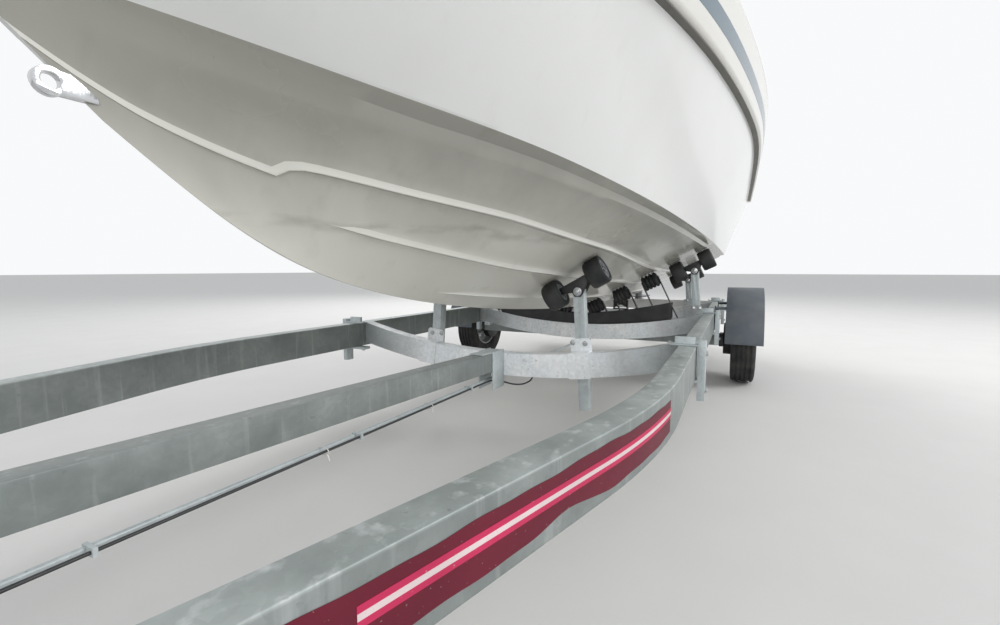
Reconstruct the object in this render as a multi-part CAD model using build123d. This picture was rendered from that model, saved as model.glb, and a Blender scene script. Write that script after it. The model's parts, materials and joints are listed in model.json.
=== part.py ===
from build123d import *
import math
import os

# A speedboat on its single-axle roller trailer, parked on the jockey wheel and the two road wheels.
# Millimetres. +X is forward, +Y is port, +Z is up. The origin is on the ground under the middle.
# A station is the distance aft of a datum near the drawbar's front end.
COUPLING_AHEAD = 200
AFT_END = 7950
LENGTH = AFT_END + COUPLING_AHEAD
# Clearance all round a shaft in its bore
RUNNING = 0.05

# Side rails: box tube, one bend and a toed-in run
RAIL_HEIGHT = 120
RAIL_WIDTH = 60
RAIL_TOP = 480
RAIL_LOW = RAIL_TOP - RAIL_HEIGHT
RAIL_OUT = 800
RAIL_FACE = RAIL_OUT + RAIL_WIDTH / 2
RAIL_REAR = 6950
BEND_START = 3620
BEND_RADIUS = 1900
TOE_IN = 15
TUBE_WALL = 4

# Drawbar: the sloping box beam in the middle
BEAM_WIDTH = 60
BEAM_HEIGHT = 80
BEAM_FRONT = 160
BEAM_REAR = 4200
BEAM_TOP_FRONT = 546
BEAM_TOP_REAR = 392
BEAM_HALF = BEAM_WIDTH / 2
# Stations between which the rails' mitred ends are welded to the drawbar
MITRE = (368, 623)
# Bracket that bolts the drawbar's rear end to the front crossmember
BRACKET_FRONT = 4095
BRACKET_TAB_FRONT = 4010
BRACKET_LOW = 236
BRACKET_WALL = 6

# Bowed crossmembers
CROSS_HEIGHT = 100
CROSS_WIDTH = 60
CROSS_HALF = CROSS_WIDTH / 2
# One row for each: name, station, top in the middle, rise at the rails, clamp's distance behind it
CROSSMEMBERS = (
    ("crossmember_front", 4230, 382, 98, -75),
    ("crossmember_middle", 5450, 386, 94, 100),
    ("crossmember_rear", 6700, 386, 94, 75),
)
CLAMP_HALF = 22
CLAMP_CHANNEL = (285, 500)

# Brake rod and wiring under the drawbar: two points on their line, of station and height
UNDER_RUN = ((900, 304), (4230, 274))
ROD_OUT = -6
ROD_RADIUS = 6
ROD_FRONT = 225
ROD_REAR = 5640
WIRE_OUT = 14
WIRE_RADIUS = 3.5
CLIP_PITCH = 620
PLUG_FRONT = 400
PLUG_REAR = 462
WIRE_LEAVES = 4100
# Points of the wiring's loop under the front crossmember: station, offset to port, height
WIRE_LOOP = (
    (4165, 15, 267),
    (4213, 26, 249),
    (4233, 66, 236),
    (4242, 112, 240),
    (4250, 146, 260),
    (4254, 156, 288),
)

# Road wheels and axle
AXLE_AT = 5850
WHEEL_OUT = 1000
TYRE_RADIUS = 288
RIM_RADIUS = 165
RIM_LIP = 54
STUB_RADIUS = 14
STUB_OUT = 1030
# One side of the tyre's outline: radius and distance from its middle
TYRE_SIDE = ((RIM_RADIUS, RIM_LIP), (200, 78), (262, 76), (284, 50))
# One side of the rim's barrel, and its dished disc from the bore out: radius and distance outboard
BARREL_SIDE = ((RIM_RADIUS, RIM_LIP), (157, RIM_LIP), (150, 34))
DISC_INSIDE = ((62, 20), (80, 6), (120, 14), (151, 4))
DISC_OUTSIDE = ((151, 12), (120, 22), (80, 14), (66, 28))
HOLE_COUNT = 8
HOLE_CIRCLE = 100
HOLE_RADIUS = 11
# Hub cap over the stub's end: radius and distance outboard
CAP = ((26, 27), (26, 40), (20, 50), (0, 54), (0, 45))
ARM_LENGTH = 160
ARM_IN = 860
ARM_OUT = 883
TORSION_TUBE = 70
TUBE_AT = AXLE_AT - ARM_LENGTH
TUBE_Z = 300
DRUM_RADIUS = 105
DRUM_OUT = 927

# Mudguards
GUARD_RADIUS = 345
GUARD_WALL = 4
GUARD_SKIRT = 40
GUARD_IN = 895
GUARD_OUT = 1105
STAY_AT = 250
STAY_RADIUS = 9

# Hull lines, one row for each section from the stem aft: keel station and height, station and
# height of the sheer, half breadth and height of the chine, half breadths at knuckle and sheer
HULL_SECTIONS = (
    (2770, 1000, 2080, 1660, 10, 1190, 16, 24),
    (2950, 870, 2230, 1655, 34, 1180, 165, 160),
    (3150, 766, 2470, 1650, 135, 1158, 300, 320),
    (3400, 692, 2850, 1645, 307, 1114, 490, 525),
    (3750, 630, 3350, 1640, 500, 1063, 660, 710),
    (4250, 575, 4050, 1630, 690, 983, 845, 905),
    (5050, 520, 5000, 1620, 800, 920, 985, 1040),
    (5950, 497, 5950, 1600, 825, 900, 1010, 1065),
    (7150, 487, 7370, 1540, 830, 890, 1000, 1055),
)
STEM, TRANSOM = HULL_SECTIONS[0], HULL_SECTIONS[-1]
CAMBER = 0.02
KNUCKLE_Z = 1470
KNUCKLE_AT = 2250
# The deck's skirt stands out from the hull by a step, which is narrower near the stem
STEP = 35
STEP_FULL = 160
DECK_FLAT = 0.55
CROWN = 70
# The chine is a narrow flat, which is narrower near the stem
CHINE_FLAT = 45
CHINE_FULL = 350
CHINE_LIP = 4
# Spray strakes on each half of the bottom: rows of station, distance off the keel, ledge width
STRAKES = (
    ((3680, 40, 2), (3870, 56, 16), (4080, 74, 24), (4440, 105, 28), (5000, 136, 30), (7000, 152, 30)),
    (
        (3200, 78, 2),
        (3300, 98, 16),
        (3450, 130, 26),
        (3630, 162, 30),
        (3850, 199, 32),
        (4180, 254, 34),
        (4550, 290, 34),
        (5000, 316, 34),
        (7000, 328, 34),
    ),
    (
        (2980, 66, 2),
        (3060, 104, 16),
        (3190, 158, 26),
        (3340, 215, 30),
        (3520, 278, 33),
        (3780, 355, 36),
        (4180, 440, 38),
        (4530, 470, 38),
        (5170, 482, 38),
        (7000, 486, 36),
    ),
)
STRAKE_SUNK = 14

# Cockpit, engine well and anchor locker
COCKPIT_FRONT = 4350
COCKPIT_REAR = 6350
COCKPIT_FRONT_RAKE = 110
COCKPIT_REAR_RAKE = 60
# Half breadths of the cockpit at the rear and the front, at its sole and at the top of its cut
COCKPIT_SOLE_HALF = (700, 600)
COCKPIT_TOP_HALF = (900, 745)
SOLE_Z = 930
CUT_TOP = 1800
FOOTWELL_FRONT = 3850
FOOTWELL_HALF = 380
FOOTWELL_HEIGHTS = (960, 1290)
WELL_FRONT = 6560
WELL_FLOOR = 860
WELL_HALF = 430
WELL_LEDGE = 100
TRANSOM_TOP = 1000
TRANSOM_BOARD = 60
LOCKER_FRONT = 2960
LOCKER_REAR = 3340
LOCKER_HALF = 160
LOCKER_FLOOR = 1540
LID_WALL = 12
LID_GAP = 3
LID_OVER = 15

# Rollers under the hull. A pair sits side by side on one sloping axle, whose rocker turns on a post
ROLLER_RADIUS = 60
ROLLER_WIDTH = 76
HUB_RECESS = 8
AXLE_ROD = 8
POST = 45
POST_LEAN = 4
POST_ABOVE_PIVOT = 10
PIVOT_DROP = 36
PIN_RADIUS = 8
HULL_GAP = 1.5
# One row for each support: its crossmember, its two contacts off the keel, height of its post's
# foot, half width of the plate that clamps the post to the back of the crossmember
SUPPORTS = (
    (0, (215, 396), 152, 46),
    (1, (590, 750), 330, 34),
    (2, (440, 610), 330, 46),
)
WRAP_WALL = 4
WRAP_TAB = 58
WRAP_CORNER = 10
WRAP_GAP = 2
# Ribbed rollers in a black cradle on the middle crossmember, and a keel roller on the rear one
CRADLE_HALF = 590
CRADLE_WIDTH = 50
CRADLE_WALL = 8
RIB_RADIUS = 46
RIB_WIDTH = 96
RIB_COUNT = 4
RIB_CONTACTS = (86, 257, 437)
EAR_GAP = 3
EAR_WALL = 5
EAR_WIDTH = 32
KEEL_ROLLER_HALF = 52
KEEL_ROLLER_EDGE = 50
KEEL_ROLLER_WAIST = 30

# Coupling head and overrun housing
SHAFT_Z = 506
SHAFT_RADIUS = 24
SHAFT_REAR = 240
BALL_RADIUS = 25.5
BALL_INSET = 55
HEAD_LENGTH = 125
HEAD_HALF = 38
HEAD_LOW, HEAD_TOP = SHAFT_Z - 26, SHAFT_Z + 34
HOUSING_FRONT = 60
HOUSING_HALF = 42
HOUSING_LOW = SHAFT_Z - 44

# Jockey wheel
JOCKEY_AT = 620
JOCKEY_Y = -190
SLEEVE_RADIUS = 24
SLEEVE_LOW = 340
SLEEVE_TOP = 640
SLIDE_RADIUS = 21
SLIDE_LOW = 222
SLIDE_LENGTH = 330
KINGPIN_RADIUS = 12
KINGPIN_LENGTH = 40
FORK_HALF = 40
JOCKEY_RADIUS = 100
JOCKEY_TRAIL = 45
JOCKEY_AXLE = 10
# One side of the jockey wheel's outline, from the bore out: radius and distance from its middle
JOCKEY_SIDE = ((22, 28), (24, 12), (68, 12), (76, 25), (92, 25), (100, 14))

# Winch post, its bow roller and the hand winch
POST_AT = 2120
WINCH_POST_HALF = 30
WINCH_Z = 1010
WINCH_AHEAD = 105
WINCH_SHAFT = 10
WINCH_CHEEK = 54
DRUM_CORE = 28
DRUM_HALF = 40
RATCHET_RADIUS = 50
RATCHET_TEETH = 18
RATCHET_DEPTH = 6
CRANK_LENGTH = 190
SNUB_Z = 1165
SNUB_DROP = 5
SNUB_AHEAD = 56
SNUB_RADIUS = 48
SNUB_WAIST = 30

# Lamp board behind the rails, and the three lenses of each lamp
BOARD_HALF = 1010
BOARD_HEIGHTS = (380, 470)
BOARD_WALL = 24
LENS_EDGES = ((800, 858), (864, 922), (928, 990))
LENS_DEPTH = 40

# Cockpit fittings
HELM_Y = -400
HELM_Z = 1430
HELM_AT = 4400
HELM_RAKE = 20
HELM_REACH = 110
HELM_RING = 165
HELM_GRIP = 13
HELM_COLUMN = 12
# The dash from the side: distance aft of the cockpit's front and height
DASH_OUTLINE = ((2, 1340), (2, 1640), (50, 1650), (90, 1400), (60, 1330))
DASH_HALF = 575
SEAT_PLACES = ((5130, -400), (5130, 400))
SEAT_HALF = 235
SEAT_COLUMN = 350
# A front cushion and the bench's from the side: distance ahead of the seat, height over its base
SEAT_OUTLINE = (
    (250, 0),
    (256, 88),
    (205, 108),
    (-150, 82),
    (-215, 470),
    (-240, 512),
    (-290, 500),
    (-262, 60),
    (-205, 0),
)
BENCH_OUTLINE = ((470, 0), (476, 86), (430, 106), (120, 84), (62, 380), (44, 400), (2, 400), (2, 0))
BENCH_FRONT = 5900
BENCH_HALF = 630
BENCH_TOP = SOLE_Z + 300

# Windscreen frame and panes
FRAME_TUBE = 11
FRAME_JOINT = 13
GLASS = 5
# One row for each post, port side: station and half breadth at the foot and at the top, height
SCREEN_POSTS = (
    (4800, 862, 4900, 800, 200),
    (4230, 790, 4420, 700, 330),
    (3900, 430, 4150, 370, 350),
)

# Towing eyes and cleats
EYE_RADIUS = 12
EYE_WALL = 14
EYE_Z = 1040
EYE_AHEAD = 24
STERN_EYES = ((620, 640), (-620, 640))
# One row for each cleat: station and offset to port
CLEATS = ((2620, 0), (7230, 800), (7230, -800))
CLEAT_LENGTH = 180
CLEAT_HEIGHT = 42


def section_at(row, height):
    """The station at which a sloping hull section reaches a height."""
    keel_at, keel_z, top_at, top_z = row[:4]
    return keel_at + (top_at - keel_at) * (height - keel_z) / (top_z - keel_z)


# Outboard engine. Its pieces are placed from the steering axis, which is aft of the tilt tube
TILT_Z = 1038
TILT_AT = section_at(TRANSOM, TRANSOM_TOP) + 22
TILT_TUBE = 14
TILT_BOSS = 28
BRACKET_IN, BRACKET_OUT = 103, 121
STEER_AT = TILT_AT + 150
STEER_PIN = 20
SPINE_RADIUS = 42
SPINE_LOW = 730
SPINE_TOP = 1060
COWL_HALF = 205
COWL_FRONT = 160
COWL_REAR = STEER_AT - AFT_END
# The cowl from below up: height, how far in its front, rear and sides are, corner radius
COWL_SECTIONS = (
    (1150, 30, 45, 33, 60),
    (1225, 4, 8, 6, 75),
    (1400, 0, 0, 0, 85),
    (1580, 18, 22, 16, 85),
    (1675, 60, 70, 50, 75),
    (1710, 120, 140, 95, 55),
)
COWL_LOW = COWL_SECTIONS[0][0]
COWL_FLOOR = COWL_LOW + 4
CAVITY = (COWL_REAR + 75, 95, 140, 1600)
BLOCK_GAP = 7
# The leg from the cowl down: height, front and rear edge ahead of the steering axis, half width
APRON = ((COWL_LOW, 60, -430, 138), (1097, -30, -260, 76))
LEG = ((1130, -45, -245, 74), (1000, -60, -234, 64), (800, -62, -230, 58), (560, -60, -228, 44))
STRUT = ((562, -40, -230, 33), (466, -20, -236, 33), (290, -32, -210, 26))
# The plate over the propeller, from above: distance ahead of the steering axis and half width
PLATE_OUTLINE = ((30, 34), (-30, 92), (-290, 95), (-330, 62))
PLATE_HEIGHTS = (462, 470)
# The gearcase, a body of revolution: radius and distance ahead of the steering axis
GEARCASE = ((36, -255), (46, -200), (48, -60), (44, 20), (30, 60), (12, 84), (0, 88))
SKEG = ((-45, 245), (-92, 85), (-152, 85), (-190, 245))
SKEG_HALF = 6
SHAFT_HEIGHT = 275
PROP_SHAFT = 10
PROP_BEHIND = 311
PROP_PITCH = 380
BLADE_COUNT = 3
# The propeller's hub: radius and distance ahead of its middle. A blade: radius, chord, thickness
HUB_OUTLINE = ((38, -50), (36, -15), (34, 50))
BLADE = ((30, 62, 12), (70, 96, 10), (115, 116, 7), (148, 88, 4), (163, 46, 3))


def fore(station):
    return LENGTH / 2 - COUPLING_AHEAD - station


def save(node, shape):
    shape.label = node
    export_step(shape, os.path.join("parts", node + ".step"))


def slab(x0, x1, y0, y1, z0, z1):
    size = Box(abs(x1 - x0), abs(y1 - y0), abs(z1 - z0))
    return Pos((x0 + x1) / 2, (y0 + y1) / 2, (z0 + z1) / 2) * size


def polygon(corners):
    return make_face(Polyline(*corners, close=True))


def plate_xz(corners, y0, y1):
    """An outline of (x, z) made solid between two offsets to port."""
    return Pos(0, (y0 + y1) / 2, 0) * extrude(Plane.XZ * polygon(corners), abs(y1 - y0) / 2, both=True)


def plate_yz(corners, x0, x1):
    """An outline of (y, z) made solid between two places along the boat."""
    return Pos((x0 + x1) / 2, 0, 0) * extrude(Plane.YZ * polygon(corners), abs(x1 - x0) / 2, both=True)


def turned(outline):
    """A solid of revolution about Z from an outline of radius and height."""
    return revolve(Plane.XZ * polygon(outline), Axis.Z)


def both_sides(rows, *middle):
    """A closed outline from one side's rows of radius and distance, mirrored, with points between."""
    return [(radius, -away) for radius, away in rows] + list(middle) + list(reversed(rows))


def rod_between(start, end, radius):
    a = Vector(*start)
    b = Vector(*end)
    return Plane(origin=(a + b) / 2, z_dir=b - a) * Cylinder(radius, (b - a).length)


def cross_rod(x, y, z, radius, length):
    return Pos(x, y, z) * Rot(90, 0, 0) * Cylinder(radius, length)


def along_rod(x0, x1, y, z, radius):
    return Pos((x0 + x1) / 2, y, z) * Rot(0, 90, 0) * Cylinder(radius, abs(x1 - x0))


def skin(rings):
    """A solid with flat-sided walls from ring to ring of points."""
    return Solid.make_loft([Polyline(*ring, close=True).wire() for ring in rings], True)


def row_at(rows, value, column):
    """The row between two rows of a table at which a column has a value."""
    for near, far in zip(rows, rows[1:]):
        if column(near) <= value <= column(far):
            break
    share = (value - column(near)) / (column(far) - column(near))
    return [a + share * (b - a) for a, b in zip(near, far)]


# Side rails: the band that a rail covers, seen from above
def rail_band(half, side):
    turn = math.radians(TOE_IN)
    bend_x = fore(BEND_START)
    rear_x = fore(RAIL_REAR)
    bend_end = (bend_x + BEND_RADIUS * math.sin(turn), RAIL_OUT - BEND_RADIUS * (1 - math.cos(turn)))
    run = bend_end[1] / math.sin(turn)
    tip = (bend_end[0] + run * math.cos(turn), 0)

    def on_bend(offset, angle):
        radius = BEND_RADIUS + offset
        return (bend_x + radius * math.sin(angle), RAIL_OUT - BEND_RADIUS + radius * math.cos(angle))

    def at_tip(offset):
        return (tip[0] + offset * math.sin(turn), tip[1] + offset * math.cos(turn))

    def edge(offset):
        arc = ThreePointArc(on_bend(offset, 0), on_bend(offset, turn / 2), on_bend(offset, turn))
        straight = Line((rear_x, RAIL_OUT + offset), on_bend(offset, 0))
        return straight + arc + Line(on_bend(offset, turn), at_tip(offset))

    rear_end = Line((rear_x, RAIL_OUT - half), (rear_x, RAIL_OUT + half))
    face = make_face(edge(half) + Line(at_tip(half), at_tip(-half)) + edge(-half) + rear_end)
    return face if side > 0 else mirror(face, about=Plane.XZ)


def side_rail(side):
    half = RAIL_WIDTH / 2
    outer = Pos(0, 0, RAIL_LOW) * extrude(rail_band(half, side), RAIL_HEIGHT)
    bore = extrude(rail_band(half - TUBE_WALL, side), RAIL_HEIGHT - 2 * TUBE_WALL)
    under_beam = slab(-LENGTH, LENGTH, -BEAM_HALF, BEAM_HALF, 0, LENGTH)
    far_side = slab(-LENGTH, LENGTH, 0, -side * LENGTH, 0, LENGTH)
    return outer - Pos(0, 0, RAIL_LOW + TUBE_WALL) * bore - under_beam - far_side


# Drawbar
def beam_top(station):
    share = (station - BEAM_FRONT) / (BEAM_REAR - BEAM_FRONT)
    return BEAM_TOP_FRONT + share * (BEAM_TOP_REAR - BEAM_TOP_FRONT)


def beam_solid(inset=0):
    top0, top1 = beam_top(BEAM_FRONT) - inset, beam_top(BEAM_REAR) - inset
    depth = BEAM_HEIGHT - 2 * inset
    front, rear = fore(BEAM_FRONT), fore(BEAM_REAR)
    corners = [(front, top0), (rear, top1), (rear, top1 - depth), (front, top0 - depth)]
    return plate_xz(corners, inset - BEAM_HALF, BEAM_HALF - inset)


def drawbar():
    foot = [(fore(station), beam_top(station) - BEAM_HEIGHT + TUBE_WALL / 2) for station in MITRE]
    foot += [(x, RAIL_LOW) for x, z in reversed(foot)]
    return beam_solid() - beam_solid(TUBE_WALL) + plate_xz(foot, -BEAM_HALF, BEAM_HALF)


def drawbar_bracket():
    """Two cheeks beside the drawbar's rear end and a tab over it, against the crossmember."""
    front, rear, tab = fore(BRACKET_FRONT), fore(BEAM_REAR), fore(BRACKET_TAB_FRONT)
    top = beam_top(BRACKET_FRONT) + BRACKET_WALL
    cheek = [(front, top), (rear, top), (rear, BRACKET_LOW), (front, BRACKET_LOW)]
    body = plate_xz(
        [
            (tab, beam_top(BRACKET_TAB_FRONT)),
            (rear, beam_top(BEAM_REAR)),
            (rear, beam_top(BEAM_REAR) + BRACKET_WALL),
            (tab, beam_top(BRACKET_TAB_FRONT) + BRACKET_WALL),
        ],
        -BEAM_HALF,
        BEAM_HALF,
    )
    for side in (1, -1):
        body += plate_xz(cheek, side * BEAM_HALF, side * (BEAM_HALF + BRACKET_WALL))
    return body


# Bowed crossmembers between the rails
def bow_radius(rise):
    half_span = RAIL_OUT - RAIL_WIDTH / 2
    return (half_span**2 + rise**2) / (2 * rise)


def cross_frame(station, middle, rise, y):
    """A frame on a crossmember's top at an offset to port, with Y along the bow and Z off it."""
    radius = bow_radius(rise)
    turn = math.asin(y / radius)
    top = middle + radius * (1 - math.cos(turn))
    off = (0, -math.sin(turn), math.cos(turn))
    return Plane(origin=(fore(station), y, top), x_dir=(1, 0, 0), z_dir=off)


def bow_face(middle, rise, top_below, bottom_below, half_width):
    """The band between two depths below a crossmember's top, out to a half width."""
    centre = middle + bow_radius(rise)
    inner = bow_radius(rise) + top_below
    outer = bow_radius(rise) + bottom_below
    wide = math.asin(half_width / bow_radius(rise))

    def on(radius, turn):
        return (radius * math.sin(turn), centre - radius * math.cos(turn))

    edges = (
        ThreePointArc(on(inner, -wide), on(inner, 0), on(inner, wide))
        + Line(on(inner, wide), on(outer, wide))
        + ThreePointArc(on(outer, wide), on(outer, 0), on(outer, -wide))
        + Line(on(outer, -wide), on(inner, -wide))
    )
    return Plane.YZ * make_face(edges)


def bow_tube(station, middle, rise, outside, inside):
    """A bowed tube whose walls lie between two distances off the crossmember's faces."""
    past_rail = RAIL_OUT + CROSS_WIDTH
    outer, inner = [
        extrude(bow_face(middle, rise, -off, CROSS_HEIGHT + off, past_rail), CROSS_HALF + off, both=True)
        for off in (outside, inside)
    ]
    return Pos(fore(station), 0, 0) * (outer - inner)


def between_rails(shape, gap):
    half_span = RAIL_OUT - RAIL_WIDTH / 2 - gap
    return shape & slab(-LENGTH, LENGTH, -half_span, half_span, 0, LENGTH)


def crossmember(station, middle, rise):
    return between_rails(bow_tube(station, middle, rise, 0, -TUBE_WALL), 0)


# Hull and deck mouldings
def faired(rows):
    """Adds one smooth row halfway between each two rows of a table."""
    ends = [rows[0], *rows, rows[-1]]
    result = []
    for before, near, far, after in zip(ends, ends[1:], ends[2:], ends[3:]):
        result.append(near)
        result.append(tuple((9 * (b + c) - a - d) / 16 for a, b, c, d in zip(before, near, far, after)))
    return [*result, rows[-1]]


FAIRED = faired(HULL_SECTIONS)


def on_section(row, points):
    """Port points (y, z) of a section and their mirror image, from the keel or underside round."""
    port = [(fore(section_at(row, z)), y, z) for y, z in points]
    return port + [(x, -y, z) for x, y, z in reversed(port) if y]


def knuckle_on(row):
    height = KNUCKLE_Z
    for _ in range(4):
        height = KNUCKLE_Z - CAMBER * (section_at(row, height) - KNUCKLE_AT)
    return height


def crown_height(row):
    return row[3] + 0.7 * min(CROWN, row[7] * 0.12)


def chine_inside(chine_y):
    return chine_y - CHINE_FLAT * min(1, chine_y / CHINE_FULL)


def bottom_slope(row):
    return (row[5] - CHINE_LIP - row[1]) / row[4]


def hull_section(row):
    """From the keel to the chine flat and chine, and up the side past the knuckle."""
    keel_z, chine_y, chine_z, knuckle_y = row[1], row[4], row[5], row[6]
    height = knuckle_on(row)
    inside = chine_inside(chine_y)
    inside_z = keel_z + bottom_slope(row) * inside
    flare = (knuckle_y - chine_y) / (height - chine_z)
    above = 60
    return [
        (0, keel_z),
        (inside, inside_z),
        (inside + 0.25 * (chine_y - inside), inside_z + 0.6 * (chine_z - inside_z)),
        (chine_y, chine_z),
        (knuckle_y + flare * above, height + above),
    ]


def deck_section(row):
    """From below the knuckle up the skirt to the gunwale, and over the crown."""
    top_z, knuckle_y, sheer_y = row[3], row[6], row[7]
    height = knuckle_on(row)
    foot = knuckle_y + STEP * min(1, knuckle_y / STEP_FULL)
    flare = (sheer_y - foot) / (top_z - height)
    below = 60
    crown_z = crown_height(row)
    return [(foot - flare * below, height - below), (sheer_y, top_z), (sheer_y * DECK_FLAT, crown_z)]


def above_knuckle():
    """All the space above the sloping plane of the knuckle."""
    slope = Rot(0, -math.degrees(math.atan(CAMBER)), 0)
    high = LENGTH / 2
    above = Pos(-high / 2, 0, high / 2) * Box(2 * high, LENGTH, high)
    return Pos(fore(KNUCKLE_AT), 0, KNUCKLE_Z) * slope * above


def cockpit_space():
    low, high = COCKPIT_SOLE_HALF, COCKPIT_TOP_HALF
    rings = []
    for (rear_half, front_half), front, rear, z in (
        (low, COCKPIT_FRONT, COCKPIT_REAR, SOLE_Z),
        (high, COCKPIT_FRONT - COCKPIT_FRONT_RAKE, COCKPIT_REAR + COCKPIT_REAR_RAKE, CUT_TOP),
    ):
        rear_x, front_x = fore(rear), fore(front)
        port = [(rear_x, rear_half, z), (front_x, front_half, z)]
        rings.append(port + [(x, -y, z) for x, y, z in reversed(port)])
    low_z, high_z = FOOTWELL_HEIGHTS
    inside = fore(COCKPIT_FRONT) - COCKPIT_REAR_RAKE
    footwell = slab(fore(FOOTWELL_FRONT), inside, -FOOTWELL_HALF, FOOTWELL_HALF, low_z, high_z)
    return skin(rings) + footwell


def engine_well():
    board = section_at(TRANSOM, TRANSOM_TOP) - TRANSOM_BOARD
    basin = slab(fore(WELL_FRONT), fore(board), -WELL_HALF, WELL_HALF, WELL_FLOOR, 2 * TRANSOM_TOP)
    notch_front = fore(WELL_FRONT + WELL_LEDGE)
    notch = slab(notch_front, fore(LENGTH), -WELL_HALF, WELL_HALF, TRANSOM_TOP, 2 * TRANSOM_TOP)
    return basin + notch


def bottom_height(station, y):
    """Height of the hull's bottom at a station and a distance off the keel, inside the chine."""
    keel_z = row_at(FAIRED, station, lambda row: row[0])[1]
    at_chine = row_at(FAIRED, station, lambda row: section_at(row, row[5]))
    return keel_z + (at_chine[5] - CHINE_LIP - keel_z) * y / at_chine[4]


def strake(rows, side):
    """A ledge that faces the water, with its upper edges sunk in the hull."""
    rings = []
    for station, y, ledge in rows:
        x = fore(station)
        low, high = bottom_height(station, y), bottom_height(station, y + ledge)
        proud = min(2, ledge / 8)
        rings.append(
            [
                (x, side * (y - STRAKE_SUNK), low + proud),
                (x, side * (y + ledge), low - proud),
                (x, side * (y + ledge + 2), high + STRAKE_SUNK),
            ]
        )
    return skin(rings)


def hull():
    body = skin([on_section(row, hull_section(row)) for row in FAIRED]) - above_knuckle()
    for rows in STRAKES:
        for side in (1, -1):
            body += strake(rows, side)
    return body - cockpit_space() - engine_well()


def deck_height(station, y):
    row = row_at(FAIRED, station, lambda row: section_at(row, crown_height(row)))
    edge = row[7]
    share = max(0, (abs(y) - edge * DECK_FLAT) / (edge - edge * DECK_FLAT))
    return crown_height(row) + share * (row[3] - crown_height(row))


def deck():
    body = skin([on_section(row, deck_section(row)) for row in FAIRED]) & above_knuckle()
    locker = slab(fore(LOCKER_REAR), fore(LOCKER_FRONT), -LOCKER_HALF, LOCKER_HALF, LOCKER_FLOOR, CUT_TOP)
    return body - cockpit_space() - engine_well() - locker


def anchor_lid():
    """The locker's lid, with the hinge barrel along its rear edge."""
    front, rear = LOCKER_FRONT - LID_OVER, LOCKER_REAR + LID_OVER
    under = [(fore(station), deck_height(station, 0) + LID_GAP) for station in (front, rear)]
    top = [(x, z + LID_WALL) for x, z in reversed(under)]
    half = LOCKER_HALF + LID_OVER
    hinge_x, hinge_z = under[1]
    barrel = cross_rod(hinge_x, 0, hinge_z + LID_WALL / 2, LID_WALL / 2, 2 * half)
    return plate_xz(under + top, -half, half) + barrel


# Rollers, rockers and posts under the hull
def hull_slope(station):
    return math.atan(bottom_height(station, 1) - bottom_height(station, 0))


def under_hull(station, y, drop, side):
    """A point at a drop square to the hull's bottom."""
    slope = hull_slope(station)
    z = bottom_height(station, y) - drop * math.cos(slope)
    return (fore(station), side * (y + drop * math.sin(slope)), z)


def along_slope(point, station, distance, side):
    slope = hull_slope(station)
    x, y, z = point
    return (x, y + side * distance * math.cos(slope), z + distance * math.sin(slope))


def sloped_frame(centre, station, side):
    """A frame whose Z runs up the hull's slope and outboard, and whose side * Y points down."""
    slope = hull_slope(station)
    return Plane(origin=centre, x_dir=(1, 0, 0), z_dir=(0, side * math.cos(slope), math.sin(slope)))


def smooth_roller():
    """A roller with rounded shoulders and a recessed hub at each end."""
    half, radius = ROLLER_WIDTH / 2, ROLLER_RADIUS
    rows = [
        (AXLE_ROD, half - 2),
        (AXLE_ROD + 9, half - 2),
        (AXLE_ROD + 12, half - HUB_RECESS),
        (radius - 18, half - HUB_RECESS),
        (radius - 14, half),
        (radius - 4, half),
        (radius, half - 10),
    ]
    return turned(both_sides(rows))


def roller_pair(support, side):
    cross, contacts = support[:2]
    station = CROSSMEMBERS[cross][1] + CROSS_HALF + POST / 2
    return [under_hull(station, y, ROLLER_RADIUS + HULL_GAP, side) for y in contacts], station


def side_rollers():
    wheel = smooth_roller()
    made = []
    for support in SUPPORTS:
        for side in (1, -1):
            centres, station = roller_pair(support, side)
            made += [sloped_frame(centre, station, side) * wheel for centre in centres]
    return Compound(made)


def pivot_point(support, side):
    (a, b), station = roller_pair(support, side)
    slope = hull_slope(station)
    y, z = (a[1] + b[1]) / 2, (a[2] + b[2]) / 2
    return (a[0], y + side * PIVOT_DROP * math.sin(slope), z - PIVOT_DROP * math.cos(slope))


def rocker(support, side):
    """The rollers' axle in a saddle, with two cheeks that come down beside the post to its pivot pin."""
    (a, b), station = roller_pair(support, side)
    px, py, pz = pivot_point(support, side)
    reach = ROLLER_WIDTH / 2
    inner = along_slope(a, station, reach + 2, side)
    outer = along_slope(b, station, -reach - 2, side)
    axle_ends = along_slope(a, station, -reach - 2, side), along_slope(b, station, reach + 2, side)
    body = rod_between(*axle_ends, AXLE_ROD)
    slope = hull_slope(station)
    ny, nz = side * math.sin(slope) * 14, -math.cos(slope) * 14
    saddle = [(inner[1] + ny, inner[2] + nz), (inner[1] - ny, inner[2] - nz)]
    saddle += [(outer[1] - ny, outer[2] - nz), (outer[1] + ny, outer[2] + nz)]
    tongue = [(py + side * 24, pz - 4), (py + side * 13, pz - 20)]
    tongue += [(py - side * 13, pz - 20), (py - side * 24, pz - 4)]
    cheek = POST / 2 + 1
    body += plate_yz(saddle, px - cheek, px + cheek)
    for end in (1, -1):
        body += plate_yz(saddle + tongue, px + end * cheek, px + end * (cheek + 6))
    return body + Pos(px, py, pz) * Rot(0, 90, 0) * Cylinder(PIN_RADIUS, 2 * cheek + 28)


def rockers():
    return Compound([rocker(support, side) for support in SUPPORTS for side in (1, -1)])


def post_axis(support, side, z):
    """The point at a height on the middle line of a leaning post."""
    px, py, pz = pivot_point(support, side)
    return Vector(px, py + side * (pz - z) * math.tan(math.radians(POST_LEAN)), z)


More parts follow.
